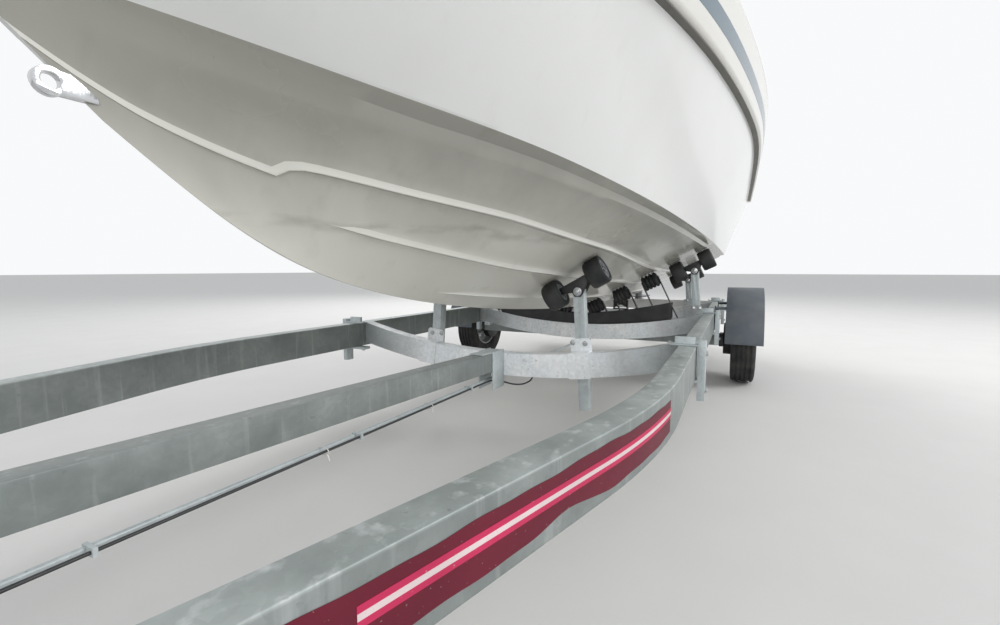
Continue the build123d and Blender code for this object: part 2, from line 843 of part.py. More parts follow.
def post(support, side):
    px, py, pz = pivot_point(support, side)
    foot = post_axis(support, side, support[2])
    top = post_axis(support, side, pz + POST_ABOVE_PIVOT)
    frame = Plane(origin=(foot + top) / 2, x_dir=(1, 0, 0), z_dir=top - foot)
    tube = frame * Box(POST, POST, (top - foot).length)
    return tube - along_rod(px - POST, px + POST, py, pz, PIN_RADIUS)


def roller_posts():
    return Compound([post(support, side) for support in SUPPORTS for side in (1, -1)])


def post_clamp(support, side):
    """A plate wrapped round the front of the crossmember, with a tab against the post behind it."""
    name, station, middle, rise, clamp = CROSSMEMBERS[support[0]]
    half = support[3]
    place = cross_frame(station, middle, rise, post_axis(support, side, middle).Y)
    back, front = -CROSS_HALF, CROSS_HALF + WRAP_WALL
    width = place * slab(back, front, -half, half, -2 * CROSS_HEIGHT, CROSS_HEIGHT)
    wrap = bow_tube(station, middle, rise, WRAP_WALL, 0) & width
    low, high, corner = WRAP_WALL / 2, WRAP_TAB, WRAP_TAB - WRAP_CORNER
    tab = [(-half, low), (half, low), (half, corner), (half - WRAP_CORNER, high)]
    tab += [(WRAP_CORNER - half, high), (-half, corner)]
    return between_rails(wrap + place * plate_yz(tab, back, back + WRAP_WALL), WRAP_GAP)


def post_clamps():
    return Compound([post_clamp(support, side) for support in SUPPORTS for side in (1, -1)])


# Ribbed rollers in their cradle, and the keel roller
def ribbed_roller():
    half = RIB_WIDTH / 2
    pitch = RIB_WIDTH / RIB_COUNT
    outline = [(AXLE_ROD, -half)]
    for index in range(RIB_COUNT):
        start = -half + index * pitch
        outline += [(RIB_RADIUS - 8, start), (RIB_RADIUS, start + 3), (RIB_RADIUS, start + pitch - 7)]
        outline += [(RIB_RADIUS - 8, start + pitch - 4)]
    return turned([*outline, (RIB_RADIUS - 8, half), (AXLE_ROD, half)])


def rib_centres():
    station = CROSSMEMBERS[1][1]
    drop = RIB_RADIUS + HULL_GAP
    return [(under_hull(station, y, drop, side), side) for side in (1, -1) for y in RIB_CONTACTS]


def keel_roller_centre():
    station = CROSSMEMBERS[2][1]
    return fore(station), bottom_height(station, 0) - KEEL_ROLLER_WAIST - HULL_GAP


def centre_rollers():
    station = CROSSMEMBERS[1][1]
    wheel = ribbed_roller()
    made = [sloped_frame(centre, station, side) * wheel for centre, side in rib_centres()]
    rows = [(AXLE_ROD, KEEL_ROLLER_HALF), (KEEL_ROLLER_EDGE, KEEL_ROLLER_HALF), (KEEL_ROLLER_EDGE, 46)]
    keel = turned(both_sides([*rows, (KEEL_ROLLER_WAIST, 6)]))
    x, z = keel_roller_centre()
    return Compound([*made, Pos(x, 0, z) * Rot(90, 0, 0) * keel])


def cradle():
    name, station, base, rise, clamp = CROSSMEMBERS[1]
    x = fore(station)
    strip = extrude(bow_face(base, rise, -CRADLE_WALL, 0, CRADLE_HALF), CRADLE_WIDTH / 2, both=True)
    body = Pos(x, 0, 0) * strip
    radius = bow_radius(rise)
    above = Pos(x, 0, base + radius) * Rot(0, 90, 0) * Cylinder(radius - CRADLE_WALL / 2, 2 * CRADLE_WIDTH)
    for centre, side in rib_centres():
        frame = sloped_frame(centre, station, side)
        reach = RIB_WIDTH / 2 + EAR_GAP
        body += frame * Cylinder(AXLE_ROD, 2 * reach + 2 * EAR_WALL)
        depth = centre[2] - base + 60
        for end in (1, -1):
            ear = Box(EAR_WIDTH, depth, EAR_WALL)
            ear = Pos(0, side * (depth / 2 - EAR_WIDTH / 2), end * (reach + EAR_WALL / 2)) * ear
            ear += Pos(0, 0, end * (reach + EAR_WALL / 2)) * Cylinder(EAR_WIDTH / 2, EAR_WALL)
            body += (frame * ear) & above
    return body


def keel_bracket():
    base = CROSSMEMBERS[2][2]
    x, z = keel_roller_centre()
    foot, cheek = CROSS_HALF - 2, KEEL_ROLLER_HALF + CRADLE_WALL
    body = slab(x - foot, x + foot, -cheek - 6, cheek + 6, base + 1, base + 1 + CRADLE_WALL)
    side_outline = [(x - 25, base + 1), (x + 25, base + 1), (x + 15, z + 14), (x - 15, z + 14)]
    for side in (1, -1):
        body += plate_xz(side_outline, side * (cheek - 4), side * (cheek + 4))
    return body + cross_rod(x, 0, z, AXLE_ROD, 2 * cheek + 16)


def roller_brackets():
    return Compound([cradle(), keel_bracket()])


# Clamps that hold each crossmember's end to its rail: a channel outside, a cap, a hook and a foot
def rail_clamp(station, side):
    x0, x1 = fore(station) - CLAMP_HALF, fore(station) + CLAMP_HALF
    outside = RAIL_FACE + 6
    low, high = CLAMP_CHANNEL
    body = slab(x0, x1, side * outside, side * (outside + 26), low, high)
    body += slab(x0, x1, side * (RAIL_OUT - 62), side * (RAIL_FACE + 8), RAIL_TOP, RAIL_TOP + 6)
    body += slab(x0, x1, side * (RAIL_FACE - 110), side * (RAIL_FACE + 8), RAIL_LOW - 12, RAIL_LOW)
    return body + Pos(fore(station), side * (RAIL_OUT - 10), RAIL_TOP + 18) * Box(12, 70, 26)


def rail_clamps():
    stations = [row[1] + row[4] for row in CROSSMEMBERS]
    return Compound([rail_clamp(station, side) for station in stations for side in (1, -1)])


# Axle: a torsion tube under the rails with trailing arms, brake drums and stub axles
def axle_beam():
    x = fore(TUBE_AT)
    half = TORSION_TUBE / 2
    body = slab(x - half, x + half, -ARM_IN, ARM_IN, TUBE_Z - half, TUBE_Z + half)
    mount = [(x - TORSION_TUBE, RAIL_LOW), (x + TORSION_TUBE, RAIL_LOW), (x + half + 6, TUBE_Z + half - 1)]
    mount += [(x - half - 6, TUBE_Z + half - 1)]
    for side in (1, -1):
        body += plate_xz(mount, side * (RAIL_OUT - 25), side * (RAIL_OUT + 25))
    return body


def trailing_arm(side):
    x = fore(TUBE_AT)
    wheel_x = fore(AXLE_AT)
    boss = TORSION_TUBE / 2 + 7
    eye = DRUM_RADIUS / 3
    arm = [(x + boss, TUBE_Z - boss + 14), (x + boss, TUBE_Z + boss - 14), (x + boss - 14, TUBE_Z + boss)]
    arm += [(wheel_x - eye, TYRE_RADIUS + eye), (wheel_x - eye, TYRE_RADIUS - eye)]
    arm += [(x + boss - 14, TUBE_Z - boss)]
    drum_width = DRUM_OUT - ARM_OUT + 1
    drum = cross_rod(wheel_x, side * (DRUM_OUT - drum_width / 2), TYRE_RADIUS, DRUM_RADIUS, drum_width)
    stub_length = STUB_OUT - ARM_OUT
    stub = cross_rod(wheel_x, side * (STUB_OUT - stub_length / 2), TYRE_RADIUS, STUB_RADIUS, stub_length)
    return plate_xz(arm, side * ARM_IN, side * ARM_OUT) + drum + stub


def trailing_arms():
    return Compound([trailing_arm(1), trailing_arm(-1)])


# Wheels
def tyre(side):
    ring = turned(both_sides(TYRE_SIDE, (TYRE_RADIUS, 0)))
    return Pos(fore(AXLE_AT), side * WHEEL_OUT, TYRE_RADIUS) * Rot(90, 0, 0) * ring


def rim(side):
    bore = STUB_RADIUS + RUNNING
    inside, outside = DISC_INSIDE[0][1], DISC_OUTSIDE[-1][1]
    disc = turned([(bore, inside), *DISC_INSIDE, *DISC_OUTSIDE, (bore, outside)])
    cap = turned([(bore, CAP[0][1]), *CAP, (bore, CAP[-1][1])])
    wheel = turned(both_sides(BARREL_SIDE)) + disc + cap
    for index in range(HOLE_COUNT):
        turn = Rot(0, 0, index * 360 / HOLE_COUNT)
        wheel -= turn * Pos(HOLE_CIRCLE, 0, 0) * Cylinder(HOLE_RADIUS, 2 * RIM_LIP)
    return Pos(fore(AXLE_AT), side * WHEEL_OUT, TYRE_RADIUS) * Rot(-90 * side, 0, 0) * wheel


# Mudguards over the wheels, each on two stays from its rail
def mudguard(side):
    x = fore(AXLE_AT)
    width = GUARD_OUT - GUARD_IN
    ring = Cylinder(GUARD_RADIUS, width) - Cylinder(GUARD_RADIUS - GUARD_WALL, width + 1)
    skirt = Cylinder(GUARD_RADIUS, 6) - Cylinder(GUARD_RADIUS - GUARD_SKIRT, 7)
    ring += Pos(0, 0, -side * (width / 2 - 3)) * skirt
    cover = Pos(x, side * (GUARD_IN + GUARD_OUT) / 2, TYRE_RADIUS) * Rot(90, 0, 0) * ring
    cover = cover & slab(-LENGTH, LENGTH, -LENGTH, LENGTH, TYRE_RADIUS + 10, LENGTH)
    from_axle = GUARD_RADIUS - GUARD_WALL - STAY_RADIUS + 2
    z = TYRE_RADIUS + math.sqrt(from_axle**2 - STAY_AT**2)
    for end in (-1, 1):
        at = x + end * STAY_AT
        stay = GUARD_OUT - 8 - RAIL_FACE
        cover += cross_rod(at, side * (RAIL_FACE + stay / 2), z, STAY_RADIUS, stay)
        foot = [(at - 20, RAIL_TOP - 60), (at + 20, RAIL_TOP - 60), (at + 14, z + 14), (at - 14, z + 14)]
        cover += plate_xz(foot, side * RAIL_FACE, side * (RAIL_FACE + 6))
    return cover


# Coupling head with the ball socket, whose shaft slides in the overrun housing on the drawbar's nose
def coupling_head():
    nose = fore(-COUPLING_AHEAD)
    rear = nose - HEAD_LENGTH
    ball_x = nose - BALL_INSET
    side_view = [(rear, HEAD_LOW), (rear, HEAD_TOP - 8), (rear + 10, HEAD_TOP), (ball_x - 6, HEAD_TOP)]
    side_view += [(nose - 12, HEAD_TOP - 20), (nose, HEAD_LOW + 14), (nose - 6, HEAD_LOW)]
    edges = (
        Line((ball_x, -HEAD_HALF), (rear, -HEAD_HALF))
        + Line((rear, -HEAD_HALF), (rear, HEAD_HALF))
        + Line((rear, HEAD_HALF), (ball_x, HEAD_HALF))
        + ThreePointArc((ball_x, HEAD_HALF), (nose, 0), (ball_x, -HEAD_HALF))
    )
    plan = extrude(make_face(edges), 2 * SHAFT_Z)
    body = plate_xz(side_view, -HEAD_LENGTH, HEAD_LENGTH) & plan
    body += Pos(ball_x, 0, SHAFT_Z - 24) * Cylinder(HEAD_HALF - 1, 36)
    body += along_rod(rear - 30, rear + 10, 0, SHAFT_Z, 32)
    body += along_rod(fore(SHAFT_REAR), rear, 0, SHAFT_Z, SHAFT_RADIUS)
    blade = [(rear + 14, HEAD_TOP - 2), (ball_x - 10, SHAFT_Z + 70), (nose - 24, SHAFT_Z + 78)]
    blade += [(nose - 20, SHAFT_Z + 68), (ball_x - 2, SHAFT_Z + 58), (ball_x - 12, HEAD_TOP - 2)]
    body += plate_xz(blade, -13, 13) + cross_rod(nose - 22, 0, SHAFT_Z + 73, 9, 34)
    socket = Pos(ball_x, 0, SHAFT_Z - 33) * Cylinder(BALL_RADIUS, 36)
    return body - socket - Pos(ball_x, 0, SHAFT_Z - 15) * Sphere(BALL_RADIUS)


def overrun_housing():
    front, beam_front, rear = fore(HOUSING_FRONT), fore(BEAM_FRONT), fore(MITRE[0] - 3)
    side_view = [(beam_front, HOUSING_LOW), (beam_front, SHAFT_Z + 50), (front - 24, SHAFT_Z + 50)]
    side_view += [(front, SHAFT_Z + 40), (front, SHAFT_Z - 40), (front - 8, HOUSING_LOW)]
    body = plate_xz(side_view, -HOUSING_HALF, HOUSING_HALF)
    body += along_rod(front - 1, front + 19, 0, SHAFT_Z, 40)
    body += slab(rear, beam_front + 1, -39, 39, HOUSING_LOW, SHAFT_Z + 62) - beam_solid()
    return body - along_rod(front - 200, front + 200, 0, SHAFT_Z, SHAFT_RADIUS + RUNNING)


# Brake rod under the drawbar, from the overrun lever to its equaliser at the axle
def under_run(station):
    (near, near_z), (far, far_z) = UNDER_RUN
    return near_z + (far_z - near_z) * (station - near) / (far - near)


def wire_line(front, rear):
    """Two ends of the wiring's straight run beside the brake rod."""
    return [(fore(station), WIRE_OUT, under_run(station)) for station in (front, rear)]


def brake_rod():
    ends = [(fore(station), ROD_OUT, under_run(station)) for station in (ROD_FRONT, ROD_REAR)]
    body = rod_between(*ends, ROD_RADIUS)
    lever_x = fore(ROD_FRONT)
    low = under_run(ROD_FRONT) - 10
    lever = [(lever_x - 9, low), (lever_x + 9, low)]
    lever += [(lever_x + 16, HOUSING_LOW), (lever_x - 16, HOUSING_LOW)]
    body += plate_xz(lever, ROD_OUT - 10, ROD_OUT + 10)
    arm_rear = fore(TUBE_AT - TORSION_TUBE / 2)
    body += slab(arm_rear, arm_rear + 25, -20, 20, 245, 285)
    station = ROD_FRONT + CLIP_PITCH
    while station < WIRE_LEAVES:
        z = under_run(station)
        body += slab(fore(station) - 4, fore(station) + 4, ROD_OUT - 9, WIRE_OUT + 7, z - 8, z + 8)
        station += CLIP_PITCH
    return body - rod_between(*wire_line(PLUG_REAR, WIRE_LEAVES), WIRE_RADIUS)


def wiring():
    """The cable from the plug, held in the clips and looped up under the front crossmember."""
    points = [Vector(*end) for end in wire_line(PLUG_REAR - 10, WIRE_LEAVES)]
    points += [Vector(fore(station), y, z) for station, y, z in WIRE_LOOP]
    radii = []
    for before, corner, after in zip(points, points[1:], points[2:]):
        turn = math.radians((corner - before).get_angle(after - corner))
        run = min((corner - before).length, (after - corner).length)
        radii.append(0.45 * run / math.tan(turn / 2))
    route = FilletPolyline(*points, radius=radii)
    cable = sweep(Plane(origin=route @ 0, z_dir=route % 0) * Circle(WIRE_RADIUS), path=route)
    end = points[-1]
    cable += Pos(end.X, end.Y, end.Z - 5) * Cylinder(WIRE_RADIUS + 4, 10)
    return cable - bow_tube(*CROSSMEMBERS[0][1:4], 0, -TUBE_WALL)


def wiring_plug():
    """The towing plug, parked in a holder plate that hangs from the drawbar's foot."""
    front, rear = fore(PLUG_FRONT), fore(PLUG_REAR)
    z = under_run(PLUG_REAR)
    body = along_rod(rear + 8, front, WIRE_OUT, z, 12) + along_rod(rear, rear + 8, WIRE_OUT, z, 8)
    body += slab(rear + 16, rear + 20, WIRE_OUT - 12, WIRE_OUT + 14, z - 14, RAIL_LOW)
    return body - rod_between(*wire_line(PLUG_REAR - 10, PLUG_REAR + 10), WIRE_RADIUS)


# Jockey wheel: a sleeve clamped to the starboard rail, a tube in it, a castor fork and a wheel
def jockey_clamp():
    x = fore(JOCKEY_AT)
    block = slab(x - 30, x + 30, JOCKEY_Y - 40, -80, 385, 460)
    rail = Pos(0, 0, RAIL_LOW) * extrude(rail_band(RAIL_WIDTH / 2, -1), RAIL_HEIGHT)
    bore = Pos(x, JOCKEY_Y, 420) * Cylinder(SLEEVE_RADIUS + 0.2, 200)
    screw = cross_rod(x, JOCKEY_Y - 60, 425, 7, 60) + cross_rod(x, JOCKEY_Y - 88, 425, 5, 10)
    lever = slab(x - 45, x + 45, JOCKEY_Y - 96, JOCKEY_Y - 84, 419, 431)
    return block - bore - rail + screw + lever


def jockey_sleeve():
    bore = SLIDE_RADIUS + RUNNING
    tube = [(bore, SLEEVE_LOW), (SLEEVE_RADIUS, SLEEVE_LOW)]
    tube += [(SLEEVE_RADIUS, SLEEVE_TOP), (bore, SLEEVE_TOP)]
    head = [(0, SLEEVE_TOP - 1), (27, SLEEVE_TOP - 1), (27, SLEEVE_TOP + 7), (9, SLEEVE_TOP + 13)]
    head += [(9, SLEEVE_TOP + 75), (0, SLEEVE_TOP + 75)]
    body = turned(tube) + turned(head)
    body += slab(-120, 12, -9, 9, SLEEVE_TOP + 68, SLEEVE_TOP + 78)
    body += Pos(-108, 0, SLEEVE_TOP + 108) * Cylinder(12, 70)
    return Pos(fore(JOCKEY_AT), JOCKEY_Y, 0) * body


def jockey_slide():
    tube = Pos(0, 0, SLIDE_LOW + SLIDE_LENGTH / 2) * Cylinder(SLIDE_RADIUS, SLIDE_LENGTH)
    bore = Pos(0, 0, SLIDE_LOW) * Cylinder(KINGPIN_RADIUS + RUNNING, 2 * KINGPIN_LENGTH + 10)
    return Pos(fore(JOCKEY_AT), JOCKEY_Y, 0) * (tube - bore)


def jockey_fork():
    x = fore(JOCKEY_AT)
    axle_x = x - JOCKEY_TRAIL
    top = SLIDE_LOW - 6
    body = slab(x - 80, x + 28, JOCKEY_Y - FORK_HALF, JOCKEY_Y + FORK_HALF, top - 8, top)
    pin_top = SLIDE_LOW + KINGPIN_LENGTH
    body += Pos(x, JOCKEY_Y, (top - 2 + pin_top) / 2) * Cylinder(KINGPIN_RADIUS, pin_top - top + 2)
    leg = [(x + 26, top - 4), (x - 78, top - 4), (axle_x - 20, 92), (axle_x - 10, 82), (axle_x + 10, 82)]
    leg += [(axle_x + 20, 92)]
    for side in (-1, 1):
        body += plate_xz(leg, JOCKEY_Y + side * (FORK_HALF - 6), JOCKEY_Y + side * FORK_HALF)
    return body + cross_rod(axle_x, JOCKEY_Y, JOCKEY_RADIUS, JOCKEY_AXLE, 2 * FORK_HALF + 12)


def jockey_wheel():
    bore = (JOCKEY_AXLE + RUNNING, JOCKEY_SIDE[0][1])
    wheel = turned(both_sides([bore, *JOCKEY_SIDE]))
    return Pos(fore(JOCKEY_AT) - JOCKEY_TRAIL, JOCKEY_Y, JOCKEY_RADIUS) * Rot(90, 0, 0) * wheel


# Winch post with the bow roller on its arm, and a hand winch on its front
def snub_x():
    return fore(section_at(STEM, SNUB_Z)) + SNUB_AHEAD


def winch_post():
    x = fore(POST_AT)
    base = beam_top(POST_AT)
    snub = snub_x()
    half = WINCH_POST_HALF
    body = slab(x - 80, x + 80, -38, 38, base - 60, base + 16) - beam_solid()
    body += slab(x - half, x + half, -half, half, base + 10, SNUB_Z + 30)
    arm = [(x - 20, SNUB_Z - 60), (x - 20, SNUB_Z + 20), (snub + 60, SNUB_Z + 20), (snub + 60, SNUB_Z - 20)]
    body += plate_xz(arm, -25, 25)
    body += slab(snub + 54, snub + 64, -64, 64, SNUB_Z - 30, SNUB_Z + 20)
    cheek = [(snub + 64, SNUB_Z - 30), (snub + 64, SNUB_Z + 20), (snub - 8, SNUB_Z + 14)]
    cheek += [(snub - 20, SNUB_Z + 4), (snub - 20, SNUB_Z - 14), (snub - 8, SNUB_Z - 24)]
    for side in (1, -1):
        body += plate_xz(cheek, side * 56, side * 64)
    return body - cross_rod(snub, 0, SNUB_Z - SNUB_DROP, 8, 200)


def bow_roller():
    rows = [(0, 62), (8, 62), (8, 50), (SNUB_RADIUS, 50)]
    wheel = turned(both_sides(rows, (SNUB_WAIST, 0)))
    return Pos(snub_x(), 0, SNUB_Z - SNUB_DROP) * Rot(90, 0, 0) * wheel


def winch_frame():
    x = fore(POST_AT) + WINCH_POST_HALF
    cheek = [(x, WINCH_Z - 70), (x, WINCH_Z + 60), (x + 90, WINCH_Z + 50), (x + 124, WINCH_Z + 24)]
    cheek += [(x + 130, WINCH_Z - 20), (x + 96, WINCH_Z - 60)]
    body = slab(x, x + 6, -60, 60, WINCH_Z - 70, WINCH_Z + 60)
    for side in (1, -1):
        body += plate_xz(cheek, side * WINCH_CHEEK, side * (WINCH_CHEEK + 6))
    return body - cross_rod(fore(POST_AT) + WINCH_AHEAD, 0, WINCH_Z, WINCH_SHAFT + RUNNING, 200)


def ratchet():
    """The ratchet's outline: each tooth rises slowly and drops straight back."""
    corners = []
    for tooth in range(RATCHET_TEETH):
        turn = math.radians(tooth * 360 / RATCHET_TEETH)
        for radius in (RATCHET_RADIUS, RATCHET_RADIUS - RATCHET_DEPTH):
            corners.append((radius * math.cos(turn), radius * math.sin(turn)))
    return corners


def winch_drum():
    flange_in, flange_out = DRUM_HALF - 1, DRUM_HALF + 5
    body = cross_rod(0, 0, 0, DRUM_CORE, 2 * DRUM_HALF)
    body += cross_rod(0, -(flange_in + flange_out) / 2, 0, RATCHET_RADIUS, flange_out - flange_in)
    body += plate_xz(ratchet(), flange_in, flange_out)
    body += cross_rod(0, 15, 0, WINCH_SHAFT, 160)
    crank = [(-12, -12), (12, -12), (9, CRANK_LENGTH), (-9, CRANK_LENGTH)]
    body += plate_xz(crank, 84, 92) + cross_rod(0, 135, CRANK_LENGTH - 14, 14, 90)
    return Pos(fore(POST_AT) + WINCH_AHEAD, 0, WINCH_Z) * body


# Lamp board across the rear ends of the rails
def lamp_board():
    x = fore(RAIL_REAR) - 20
    low, high = BOARD_HEIGHTS
    board = slab(x - BOARD_WALL / 2, x + BOARD_WALL / 2, -BOARD_HALF, BOARD_HALF, low, high)
    for side in (1, -1):
        board += slab(x + 11, x + 20, side * (RAIL_OUT - 30), side * (RAIL_OUT + 30), low, high)
    return board


def lamp(side):
    """A base plate with the three lenses that stand on it."""
    x = fore(RAIL_REAR) - 20 - BOARD_WALL / 2
    low, high = BOARD_HEIGHTS[0] + 5, BOARD_HEIGHTS[1] - 5
    body = slab(x - 10, x, side * (LENS_EDGES[0][0] - 6), side * (LENS_EDGES[-1][1] + 6), low, high)
    for inner, outer in LENS_EDGES:
        body += slab(x - LENS_DEPTH, x - 9, side * inner, side * outer, low + 6, high - 6)
    return body


def lamps():
    return Compound([lamp(1), lamp(-1)])


# Cockpit fittings
def helm_frame():
    turn = math.radians(HELM_RAKE)
    return Plane(origin=(fore(HELM_AT), HELM_Y, HELM_Z), z_dir=(-math.cos(turn), 0, math.sin(turn)))


def dash():
    front = fore(COCKPIT_FRONT)
    outline = [(front - behind, z) for behind, z in DASH_OUTLINE]
    return plate_xz(outline, -DASH_HALF, DASH_HALF) - helm_frame() * Cylinder(HELM_COLUMN + RUNNING, 300)


def steering_wheel():
    hub = turned([(0, -31), (34, -31), (34, -6), (22, 3), (0, 3)])
    wheel = Torus(HELM_RING, HELM_GRIP) + hub + Pos(0, 0, -70) * Cylinder(HELM_COLUMN, 100)
    spoke = [(28, -17), (158, -12), (158, 12), (28, 17)]
    for turn in (90, 210, 330):
        wheel += Rot(0, 0, turn) * Pos(0, 0, -6) * extrude(polygon(spoke), 8)
    return helm_frame() * Pos(0, 0, HELM_REACH) * wheel


def seat_base(x, y):
    top = SOLE_Z + SEAT_COLUMN
    column = [(0, SOLE_Z), (150, SOLE_Z), (146, SOLE_Z + 14), (60, SOLE_Z + 26)]
    column += [(60, top - 20), (0, top - 20)]
    return Pos(x, y, 0) * turned(column) + slab(x - 230, x + 230, y - 230, y + 230, top - 21, top)


def seat_pad(x, y):
    base = SOLE_Z + SEAT_COLUMN
    return plate_xz([(x + ahead, base + z) for ahead, z in SEAT_OUTLINE], y - SEAT_HALF, y + SEAT_HALF)


def seat_bases():
    return Compound([seat_base(fore(station), y) for station, y in SEAT_PLACES])


def seat_pads():
    return Compound([seat_pad(fore(station), y) for station, y in SEAT_PLACES])


def bench_base():
    return slab(fore(COCKPIT_REAR), fore(BENCH_FRONT), -BENCH_HALF, BENCH_HALF, SOLE_Z, BENCH_TOP)


def bench_pads():
    rear = fore(COCKPIT_REAR)
    return plate_xz([(rear + ahead, BENCH_TOP + z) for ahead, z in BENCH_OUTLINE], -BENCH_HALF, BENCH_HALF)


# Windscreen: five flat panes in a frame of tube
def screen_points(side):
    points = []
    for foot_at, foot_y, top_at, top_y, rise in SCREEN_POSTS:
        z = deck_height(foot_at, foot_y) + 4
        points.append(((fore(foot_at), side * foot_y, z), (fore(top_at), side * top_y, z + rise)))
    return points


def windscreen(deck_body):
    posts = screen_points(1) + screen_points(-1)[::-1]
    frame = Compound([])
    for foot, top in posts:
        frame += rod_between(foot, top, FRAME_TUBE)
        frame += Pos(*top) * Sphere(FRAME_JOINT) + Pos(*foot) * Sphere(FRAME_JOINT)
    panes = []
    for (foot_a, top_a), (foot_b, top_b) in zip(posts, posts[1:]):
        frame += rod_between(foot_a, foot_b, FRAME_TUBE)
        frame += rod_between(top_a, top_b, FRAME_TUBE)
        panes.append([Vector(*point) for point in (foot_a, foot_b, top_b, top_a)])
    glass = []
    for corners in panes:
        normal = (corners[1] - corners[0]).cross(corners[3] - corners[0]).normalized()
        flat = [point - normal * (point - corners[0]).dot(normal) for point in corners]
        pane = extrude(polygon(flat), GLASS / 2, dir=normal, both=True)
        glass.append(max((pane - frame - deck_body).solids(), key=lambda solid: solid.volume))
    return frame - deck_body, Compound(glass)


# Outboard engine: bracket on the transom, tilting swivel bracket, steered leg and propeller
def transom_bracket():
    x = fore(TILT_AT)
    face = fore(section_at(TRANSOM, TRANSOM_TOP))
    low = fore(section_at(TRANSOM, 760))
    hook = face + TRANSOM_BOARD
    cheek = [
        (low, 760),
        (face, TRANSOM_TOP),
        (hook, TRANSOM_TOP),
        (hook, TRANSOM_TOP - 60),
        (hook + 20, TRANSOM_TOP - 60),
        (hook + 20, TRANSOM_TOP + 12),
        (hook + 10, TRANSOM_TOP + 22),
        (x + 20, TILT_Z + 26),
        (x - 12, TILT_Z + 26),
        (x - 24, TILT_Z + 12),
        (face - 50, 960),
        (low - 40, 770),
    ]
    body = cross_rod(x, 0, TILT_Z, TILT_TUBE, 224)
    for side in (1, -1):
        body += plate_xz(cheek, side * BRACKET_IN, side * BRACKET_OUT)
    return body


def swivel_bracket():
    x = fore(TILT_AT)
    steer_x = fore(STEER_AT)
    yoke = [(steer_x, 60), (steer_x, -60), (x - 20, -60), (x - 20, 60)]
    body = cross_rod(x, 0, TILT_Z, TILT_BOSS, 190)
    body += Pos(0, 0, 960) * extrude(polygon(yoke), SPINE_TOP - 960)
    brace = [(steer_x + 30, SPINE_LOW + 40), (steer_x + 30, 962), (x - 24, 962), (x - 40, 940)]
    body += plate_xz(brace, -14, 14)
    body += Pos(steer_x, 0, (SPINE_LOW + SPINE_TOP) / 2) * Cylinder(SPINE_RADIUS, SPINE_TOP - SPINE_LOW)
    body -= Pos(steer_x, 0, (SPINE_LOW + SPINE_TOP) / 2) * Cylinder(STEER_PIN + RUNNING, SPINE_TOP)
    return body - cross_rod(x, 0, TILT_Z, TILT_TUBE + RUNNING, 220)


def leg_ring(x, row):
    """A section of the leg, narrower at its front and rear edges."""
    z, front, rear, half = row
    long = front - rear
    port = [(front, half / 3), (front - long / 4, half), (rear + long / 4, half * 0.9), (rear, half / 3)]
    port = [(x + ahead, y, z) for ahead, y in port]
    return port + [(x, -y, z) for x, y, z in reversed(port)]


def engine_leg():
    x = fore(STEER_AT)
    low, high = SPINE_LOW - 16, SPINE_TOP + 12
    body = Pos(x, 0, (low + high) / 2) * Cylinder(STEER_PIN, high - low + 4)
    body += slab(x - 100, x + 40, -70, 70, high, high + 24) + slab(x - 100, x + 30, -48, 48, low - 24, low)
    for rows in (APRON, LEG, STRUT):
        body += skin([leg_ring(x, row) for row in rows])
    plate = [(x + ahead, half) for ahead, half in PLATE_OUTLINE]
    plate += [(ahead, -half) for ahead, half in reversed(plate)]
    low_plate, high_plate = PLATE_HEIGHTS
    body += Pos(0, 0, low_plate) * extrude(polygon(plate), high_plate - low_plate)
    gears = turned([(0, GEARCASE[0][1]), *GEARCASE])
    body += Pos(x, 0, SHAFT_HEIGHT) * Rot(0, 90, 0) * gears
    body += plate_xz([(x + ahead, z) for ahead, z in SKEG], -SKEG_HALF, SKEG_HALF)
    return body + along_rod(x - 355, x - 235, 0, SHAFT_HEIGHT, PROP_SHAFT)


def cowl_ring(x, row):
    z, front_in, rear_in, side_in, corner = row
    front, rear = x + COWL_FRONT - front_in, x + COWL_REAR + rear_in
    size = RectangleRounded(front - rear, 2 * (COWL_HALF - side_in), corner)
    return (Pos((front + rear) / 2, 0, z) * size).wire()


def engine_cowl():
    x = fore(STEER_AT)
    shell = Solid.make_loft([cowl_ring(x, row) for row in COWL_SECTIONS], True)
    rear, front, half, top = CAVITY
    return shell - slab(x + rear, x + front, -half, half, COWL_FLOOR, top)


def engine_block():
    x = fore(STEER_AT)
    rear, front, half, top = CAVITY
    gap = BLOCK_GAP
    return slab(x + rear + gap, x + front - gap, gap - half, half - gap, COWL_FLOOR, top - gap)


def blade_ring(radius, chord, thick):
    """A blade's section, turned so that each radius follows the same screw."""
    turn = math.atan(PROP_PITCH / (2 * math.pi * radius))
    sine, cosine = math.sin(turn), math.cos(turn)
    points = ((chord / 2, 0), (0, thick / 2), (-chord / 2, 0), (0, -thick / 2))
    return [(run * sine + off * cosine, run * cosine - off * sine, radius) for run, off in points]


def propeller():
    body = Rot(0, 90, 0) * turned([(0, HUB_OUTLINE[0][1]), *HUB_OUTLINE, (0, HUB_OUTLINE[-1][1])])
    blade = skin([blade_ring(*row) for row in BLADE])
    for index in range(BLADE_COUNT):
        body += Rot(index * 360 / BLADE_COUNT, 0, 0) * blade
    body -= Rot(0, 90, 0) * Cylinder(PROP_SHAFT + RUNNING, 200)
    return Pos(fore(STEER_AT) - PROP_BEHIND, 0, SHAFT_HEIGHT) * body


# Towing eyes: one on the stem and two on the transom, each a lug with a hole for a shackle
def eye(x, y, z, to_hull):
    half = EYE_WALL / 2
    body = cross_rod(x, y, z, EYE_RADIUS + 10, EYE_WALL)
    body += slab(x, x + to_hull, y - half, y + half, z - 18, z + 18)
    return body - cross_rod(x, y, z, EYE_RADIUS, 40)


def largest(shape):
    return max(shape.solids(), key=lambda solid: solid.volume)


